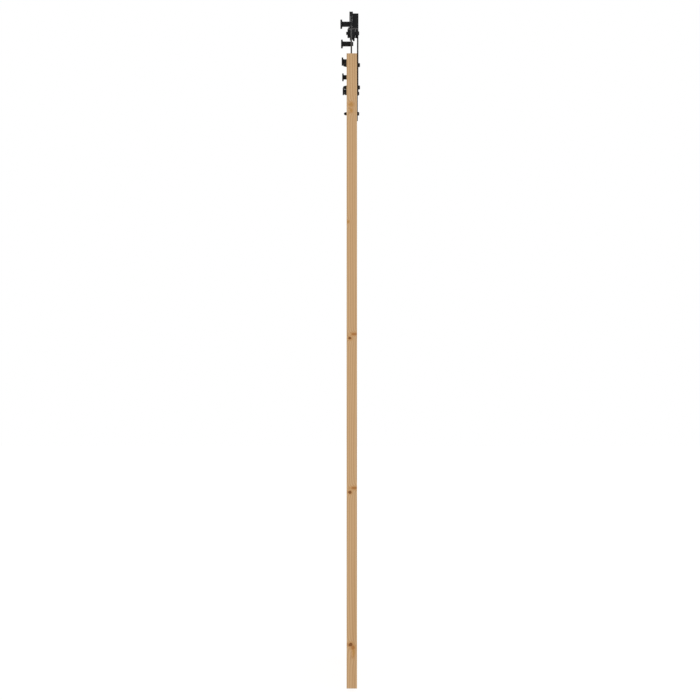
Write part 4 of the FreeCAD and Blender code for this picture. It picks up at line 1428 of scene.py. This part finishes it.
@dataclass
class DoorFasteners:
    """The round-head bolts through strap and leaf, with washers and cap nuts behind."""

    finishes: Finishes
    head_radius: float = 0.0068
    head_height: float = 0.0054
    crown: float = 0.0027
    shank_radius: float = 0.003
    nut_flats: float = 0.0111
    hex_height: float = 0.0056
    dome_radius: float = 0.0052
    dome_sunk: float = 0.0006
    washer_gap: float = 0.0004

    def build(self) -> list[Piece]:
        """Models one of each kind, copies it to all four places, and dresses the groups.

        Returns:
            The three groups.
        """
        first, *others = strap_bolt_places()
        bolts, rings, nuts = Box.of("door_bolts"), Box.of("door_washers"), Box.of("cap_nuts")
        seat = first + to_wall(bolts.low.y + self.head_height)
        shank = ((self.shank_radius, bolts.high.y - seat.y),)
        screw = SocketScrew(self.head_radius, self.head_height, self.crown, shank)
        rim = rings.size.x / 2 - (bolts.size.x / 2 - self.head_radius)
        hole = self.shank_radius + self.washer_gap
        models = {
            "door_bolts": screw.model("strap_bolt", seat),
            "door_washers": washer("back_washer", first + to_wall(rings.low.y), hole, rim, rings.size.y),
            "cap_nuts": self._cap_nut(first + to_wall(nuts.low.y), nuts.size.y),
        }
        pieces = []
        for node, model in models.items():
            group = joined(f"{node}_set", row_of(model, node, [there - first for there in others]))
            pieces.append(self.finishes.coated(group, "door", node))
        return pieces

    def _cap_nut(self, seat: Vector, overall: float) -> Piece:
        """Models a cap nut: a hexagon with a dome.

        Args:
            seat: The point on the axis where it starts.
            overall: Its length along the axis, dome and all.

        Returns:
            The nut.
        """
        piece = hexagon("cap_nut", seat, self.nut_flats, self.hex_height)
        radius, base = self.dome_radius, overall - self.dome_radius
        foot = base - self.dome_sunk
        outline = [(0.0, foot), (radius, foot), *arc(0.0, base, radius, 0.0, 90.0, 12)]
        return smooth(carve(piece, [turned("dome", outline, seat, 60)], "UNION"))


# ---------------------------------------------------------------- door leaf


@dataclass
class Leaf:
    """The framed and boarded pine leaf."""

    arris: float = 0.0012
    board_arris: float = 0.0004
    spare: float = 0.001
    groove_depth: float = 0.012
    groove_gap: float = 0.0002
    tongue: float = 0.005
    bevel: float = 0.002
    brace_end: float = 0.15
    bolt_hole: float = 0.0034
    dowel_radius: float = 0.005
    dowel_offset: float = 0.032
    tenon_overlap: float = 0.002
    knot_pitch: float = 0.55
    edge_knot_reach: float = 0.028
    edge_knots: tuple[tuple[float, float, float, float, Growth], ...] = (
        (0.169, 0.42, 0.0055, 0.0060, Growth.BURIED),
        (0.189, 0.44, 0.0040, 0.0050, Growth.BURIED),
        (0.557, 0.14, 0.0030, 0.0040, Growth.BURIED),
        (0.9415, 0.32, 0.0050, 0.0046, Growth.DEAD),
        (0.928, 0.74, 0.0100, 0.0038, Growth.LIVE),
        (1.4506, 0.32, 0.0052, 0.0048, Growth.DEAD),
        (1.437, 0.74, 0.0100, 0.0045, Growth.LIVE),
        (1.955, 0.37, 0.0065, 0.0058, Growth.DEAD),
        (1.9643, 0.62, 0.0060, 0.0065, Growth.LIVE),
        (1.980, 0.66, 0.0034, 0.0120, Growth.BURIED),
    )

    def build(self) -> list[Piece]:
        """Builds and dresses every timber of the leaf.

        Returns:
            The timbers.
        """
        numbers = range(1, BOARD_COUNT + 1)
        nodes = [f"door_stile_{side}" for side in SIDES] + [f"door_{level}_rail" for level in LEVELS]
        pieces = [self._stile(side) for side in SIDES] + [self._rail(level) for level in LEVELS]
        for panel in PANELS:
            nodes += [*(f"{panel}_board_{k}" for k in numbers), f"{panel}_brace"]
            pieces += [*(self._board(panel, k) for k in numbers), self._brace(panel)]
        for seed, (piece, node) in enumerate(zip(pieces, nodes), 1):
            self._dress(piece, node, seed)
        paint("frame_dowels", Beech("beech_dowel", ORIGIN, Way.X, DOWEL_SEED).material())
        return pieces

    def _grooves(self) -> tuple[float, float]:
        """Front and back of the groove that takes the boards, along Y."""
        board = Box.of("lower_board_1")
        return board.low.y - self.groove_gap, board.high.y + self.groove_gap

    def _stile(self, side: str) -> Piece:
        """Models an upright: grooved on its inner edge, bored for the strap bolts and the dowels.

        Args:
            side: Which of the two.

        Returns:
            The stile.
        """
        box = Box.of(f"door_stile_{side}")
        piece = block(f"stile_{side}", box.low, box.high)
        front, back = self._grooves()
        inner, inward = (box.high.x, 1.0) if side == "left" else (box.low.x, -1.0)
        xs = sorted((inner - inward * self.groove_depth, inner + inward * self.spare))
        low = Vector((xs[0], front, box.low.z - self.spare))
        high = Vector((xs[1], back, box.high.z + self.spare))
        tools = [block("groove", low, high)]
        places = strap_bolt_places()
        for place in places[:2] if side == "left" else places[2:]:
            tools.append(bore_cutter(box, place.x, place.z, self.bolt_hole))
        return soften(carve(piece, tools + self._dowel_bores(inner)), self.arris, 3)

    def _dowel_bores(self, x: float, levels: Sequence[str] = LEVELS) -> list[Piece]:
        """Makes the cutters for the dowels at one shoulder line.

        Args:
            x: The shoulder line's place along the track.
            levels: The rails whose dowels cross it.

        Returns:
            The cutters, two to a rail.
        """
        front, back = self._grooves()
        reach = Box.of("frame_dowels").high.x - Box.of("door_stile_right").low.x
        bores = []
        for level in levels:
            height = Box.of(f"door_{level}_rail").middle.z
            for up in (-self.dowel_offset, self.dowel_offset):
                centre = Vector((x, (front + back) / 2, height + up))
                bores.append(rod(centre, self.dowel_radius + self.groove_gap, reach * 2, Way.X, 24))
        return bores

    def _rail(self, level: str) -> Piece:
        """Models a cross rail: its grooved section drawn out along X, with a stub tenon at each end.

        Args:
            level: Which of the three.

        Returns:
            The rail.
        """
        box, stiles = Box.of(f"door_{level}_rail"), [Box.of(f"door_stile_{side}") for side in SIDES]
        shoulders = (stiles[0].high.x, stiles[1].low.x)
        front, back = self._grooves()
        low, high = box.low, box.high
        floor = low.z + (self.groove_depth if level != "bottom" else 0.0)
        roof = high.z - (self.groove_depth if level != "top" else 0.0)
        section = [(low.y, low.z), (low.y, high.z)]
        if level != "top":
            section += [(front, high.z), (front, roof), (back, roof), (back, high.z)]
        section += [(high.y, high.z), (high.y, low.z)]
        if level != "bottom":
            section += [(back, low.z), (back, floor), (front, floor), (front, low.z)]
        points = [Vector((shoulders[0], y, z)) for y, z in section]
        piece = prism(f"cross_rail_{level}", points, along_track(shoulders[1] - shoulders[0]))
        gap, lap = self.groove_gap, self.tenon_overlap
        for outer, inner in ((low.x, shoulders[0] + lap), (high.x, shoulders[1] - lap)):
            xs = sorted((outer, inner))
            corners = Vector((xs[0], front + gap, floor)), Vector((xs[1], back - gap, roof))
            carve(piece, [block("tenon", *corners)], "UNION")
        for x in shoulders:
            carve(piece, self._dowel_bores(x, (level,)))
        return soften(piece, self.arris, 3)

    def _board(self, panel: str, number: int) -> Piece:
        """Models a tongue and groove board with bevelled front edges.

        Args:
            panel: The panel that it is in.
            number: Its place in the panel, from 1 at the left.

        Returns:
            The board.
        """
        box = Box.of(f"{panel}_board_{number}")
        low, high = box.low, box.high
        edge = high.x - self.tongue
        middle = box.middle.y
        half = self.tongue / 2
        slot = half + self.groove_gap
        depth = self.tongue + self.groove_gap
        outline = [
            (low.x + self.bevel, low.y), (edge - self.bevel, low.y), (edge, low.y + self.bevel),
            (edge, middle - half), (high.x, middle - half), (high.x, middle + half), (edge, middle + half),
            (edge, high.y), (low.x, high.y), (low.x, middle + slot), (low.x + depth, middle + slot),
            (low.x + depth, middle - slot), (low.x, middle - slot), (low.x, low.y + self.bevel),
        ]
        points = [Vector((x, y, low.z)) for x, y in outline]
        piece = prism(f"{panel}_lining_{number}", points, Vector((0.0, 0.0, box.size.z)))
        return soften(piece, self.board_arris)

    def _brace(self, panel: str) -> Piece:
        """Models a diagonal brace in front of the boards.

        Args:
            panel: The panel that it crosses.

        Returns:
            The brace.
        """
        box = Box.of(f"{panel}_brace")
        low, high = box.low, box.high
        corners = (
            (low.x, low.z), (high.x, high.z - self.brace_end), (high.x, high.z),
            (low.x, low.z + self.brace_end),
        )
        points = [Vector((x, high.y, z)) for x, z in corners]
        return soften(prism(f"{panel}_diagonal", points, to_wall(-box.size.y)), self.arris, 3)

    def _face_knots(self, box: Box, way: Way, seed: int) -> tuple[Knot, ...]:
        """Scatters knots through a timber, seen on its front and back faces.

        Args:
            box: The timber's box.
            way: The grain's way, along which the knots are spread.
            seed: The seed of their places.

        Returns:
            The knots.
        """
        dice = random.Random(KNOT_SEED + seed)
        length = box.size[way.index]
        count = max(1, round(length / self.knot_pitch))
        knots = []
        for k in range(count):
            centre = list(box.middle)
            share = (k + dice.uniform(0.2, 0.8)) / count
            centre[way.index] = box.low[way.index] + length * share
            other = Way.X if way is Way.Z else Way.Z
            centre[other.index] += dice.uniform(-0.32, 0.32) * box.size[other.index]
            radius = dice.uniform(0.005, 0.011)
            growth = dice.choice((Growth.DEAD, Growth.LIVE, Growth.LIVE, Growth.BURIED))
            knots.append(Knot(tuple(centre), Way.Y, radius, radius * dice.uniform(1.0, 1.5), growth))
        return tuple(knots)

    def _stile_edge_knots(self) -> tuple[Knot, ...]:
        """Places the knots on the outer edge of the left stile.

        Returns:
            The knots, from the top down.
        """
        box = Box.of("door_stile_left")
        knots = []
        for down, share, across, tall, growth in self.edge_knots:
            y = box.high.y - share * box.size.y
            centre = (box.low.x, y, box.high.z - down)
            knots.append(Knot(centre, Way.X, across, tall, growth, self.edge_knot_reach))
        return tuple(knots)

    def _dress(self, piece: Piece, node: str, seed: int) -> None:
        """Gives a timber pine of its own, with its grain along it.

        Args:
            piece: The timber.
            node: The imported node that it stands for.
            seed: The seed of its grain and knots.
        """
        box = Box.of(node)
        way = Way.X if node.endswith("_rail") else Way.Z
        slant = -math.atan2(box.size.x, box.size.z - self.brace_end) if node.endswith("_brace") else 0.0
        seen_edge = node == "door_stile_left"
        knots = self._stile_edge_knots() if seen_edge else self._face_knots(box, way, seed)
        pine = Pine(f"pine_{piece.name}", tuple(box.middle), way, seed, knots, slant)
        dress(piece, pine.material(), "door", Slot.PINE, node)


def paint(node: str, material: bpy.types.Material) -> None:
    """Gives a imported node, whose shape stays, a finish.

    Args:
        node: The node.
        material: The finish.
    """
    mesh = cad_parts[node].data
    mesh.materials.clear()
    mesh.materials.append(material)


# ---------------------------------------------------------------- floor, light and camera


@dataclass
class Studio:
    """A plain pale floor, even white light with one soft lamp, and the camera."""

    door_clearance: float = 0.012
    floor_size: float = 40.0
    floor_colour: Colour = (0.10, 0.10, 0.10)
    floor_cloud: Colour = (0.13, 0.13, 0.13)
    floor_glow: float = 0.92
    lamp_place: tuple[float, float, float] = (-2.2, -3.2, 1.4)
    lamp_target: tuple[float, float, float] = (0.0, 0.0, -0.9)
    lamp_size: float = 2.5
    lamp_power: float = 18.0
    camera_place: tuple[float, float, float] = (-7.384, -0.03575, -1.062)
    sensor_width: float = 36.0
    focal_ratio: float = 2.9966
    shift: tuple[float, float] = (-0.00257, 0.01893)
    far_clip: float = 100.0

    def build(self) -> None:
        """Builds the floor, the light and the camera."""
        self._floor()
        self._light()
        self._camera()

    def _floor(self) -> None:
        """A pale floor just below the leaf, lit from within like a light table."""
        deselect()
        height = Box.of("door_stile_left").low.z - self.door_clearance
        bpy.ops.mesh.primitive_plane_add(size=self.floor_size, location=(0.0, 0.0, height))
        floor = bpy.context.object
        floor.name = "floor"
        settle(floor)
        graph = Graph("pale_floor")
        tint = graph.noise(graph.place(), 1.5, 2.0)
        material = graph.done(
            Base_Color=graph.mix(self.floor_colour, self.floor_cloud, tint),
            Roughness=0.9,
            Specular_IOR_Level=0.0,
            Emission_Color=WHITE,
            Emission_Strength=self.floor_glow,
        )
        floor.data.materials.append(material)

    def _light(self) -> None:
        """Even white surroundings and a large soft lamp on the room's side."""
        world = bpy.data.worlds.new("white_room")
        world.use_nodes = True
        background = world.node_tree.nodes["Background"]
        background.inputs["Color"].default_value = WHITE
        background.inputs["Strength"].default_value = 1.0
        bpy.context.scene.world = world
        bpy.context.scene.view_settings.view_transform = "Standard"
        lamp = bpy.data.lights.new("soft_lamp", "AREA")
        lamp.shape = "SQUARE"
        lamp.size = self.lamp_size
        lamp.energy = self.lamp_power
        holder = bpy.data.objects.new("soft_lamp", lamp)
        holder.location = self.lamp_place
        aim = Vector(self.lamp_target) - holder.location
        holder.rotation_euler = aim.to_track_quat("-Z", "Y").to_euler()
        bpy.context.scene.collection.objects.link(holder)

    def _camera(self) -> None:
        """The camera looks along the track from its left end, in the plane of the leaf."""
        lens = bpy.data.cameras.new("camera")
        lens.sensor_width = self.sensor_width
        lens.lens = self.focal_ratio * lens.sensor_width
        lens.shift_x, lens.shift_y = self.shift
        lens.clip_end = self.far_clip
        camera = bpy.data.objects.new("camera", lens)
        camera.location = self.camera_place
        camera.rotation_euler = (math.pi / 2, 0.0, -math.pi / 2)
        bpy.context.scene.collection.objects.link(camera)
        bpy.context.scene.camera = camera


def corners(bounds: tuple) -> list[list[float]]:
    """A box as two plain lists of numbers."""
    return [[float(value) for value in corner] for corner in bounds]


def main() -> None:
    """Builds the set, one sub-assembly after another."""
    logging.basicConfig(level=logging.INFO, format="%(name)s: %(message)s")
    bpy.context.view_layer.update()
    finishes = Finishes()
    builders: list[tuple[str, Callable[[], list[Piece]]]] = [
        ("track", Track(finishes).build),
        ("end stops", EndStops(finishes).build),
        ("wheels", Wheels(finishes).build),
        ("hangers", Hangers(finishes).build),
        ("door fasteners", DoorFasteners(finishes).build),
        ("leaf", Leaf().build),
    ]
    for title, build in builders:
        for piece in build():
            LOG.info("%s: %s, %d faces", title, piece.name, len(piece.data.polygons))
    Studio().build()
    deselect()


if __name__ == "__main__":
    main()
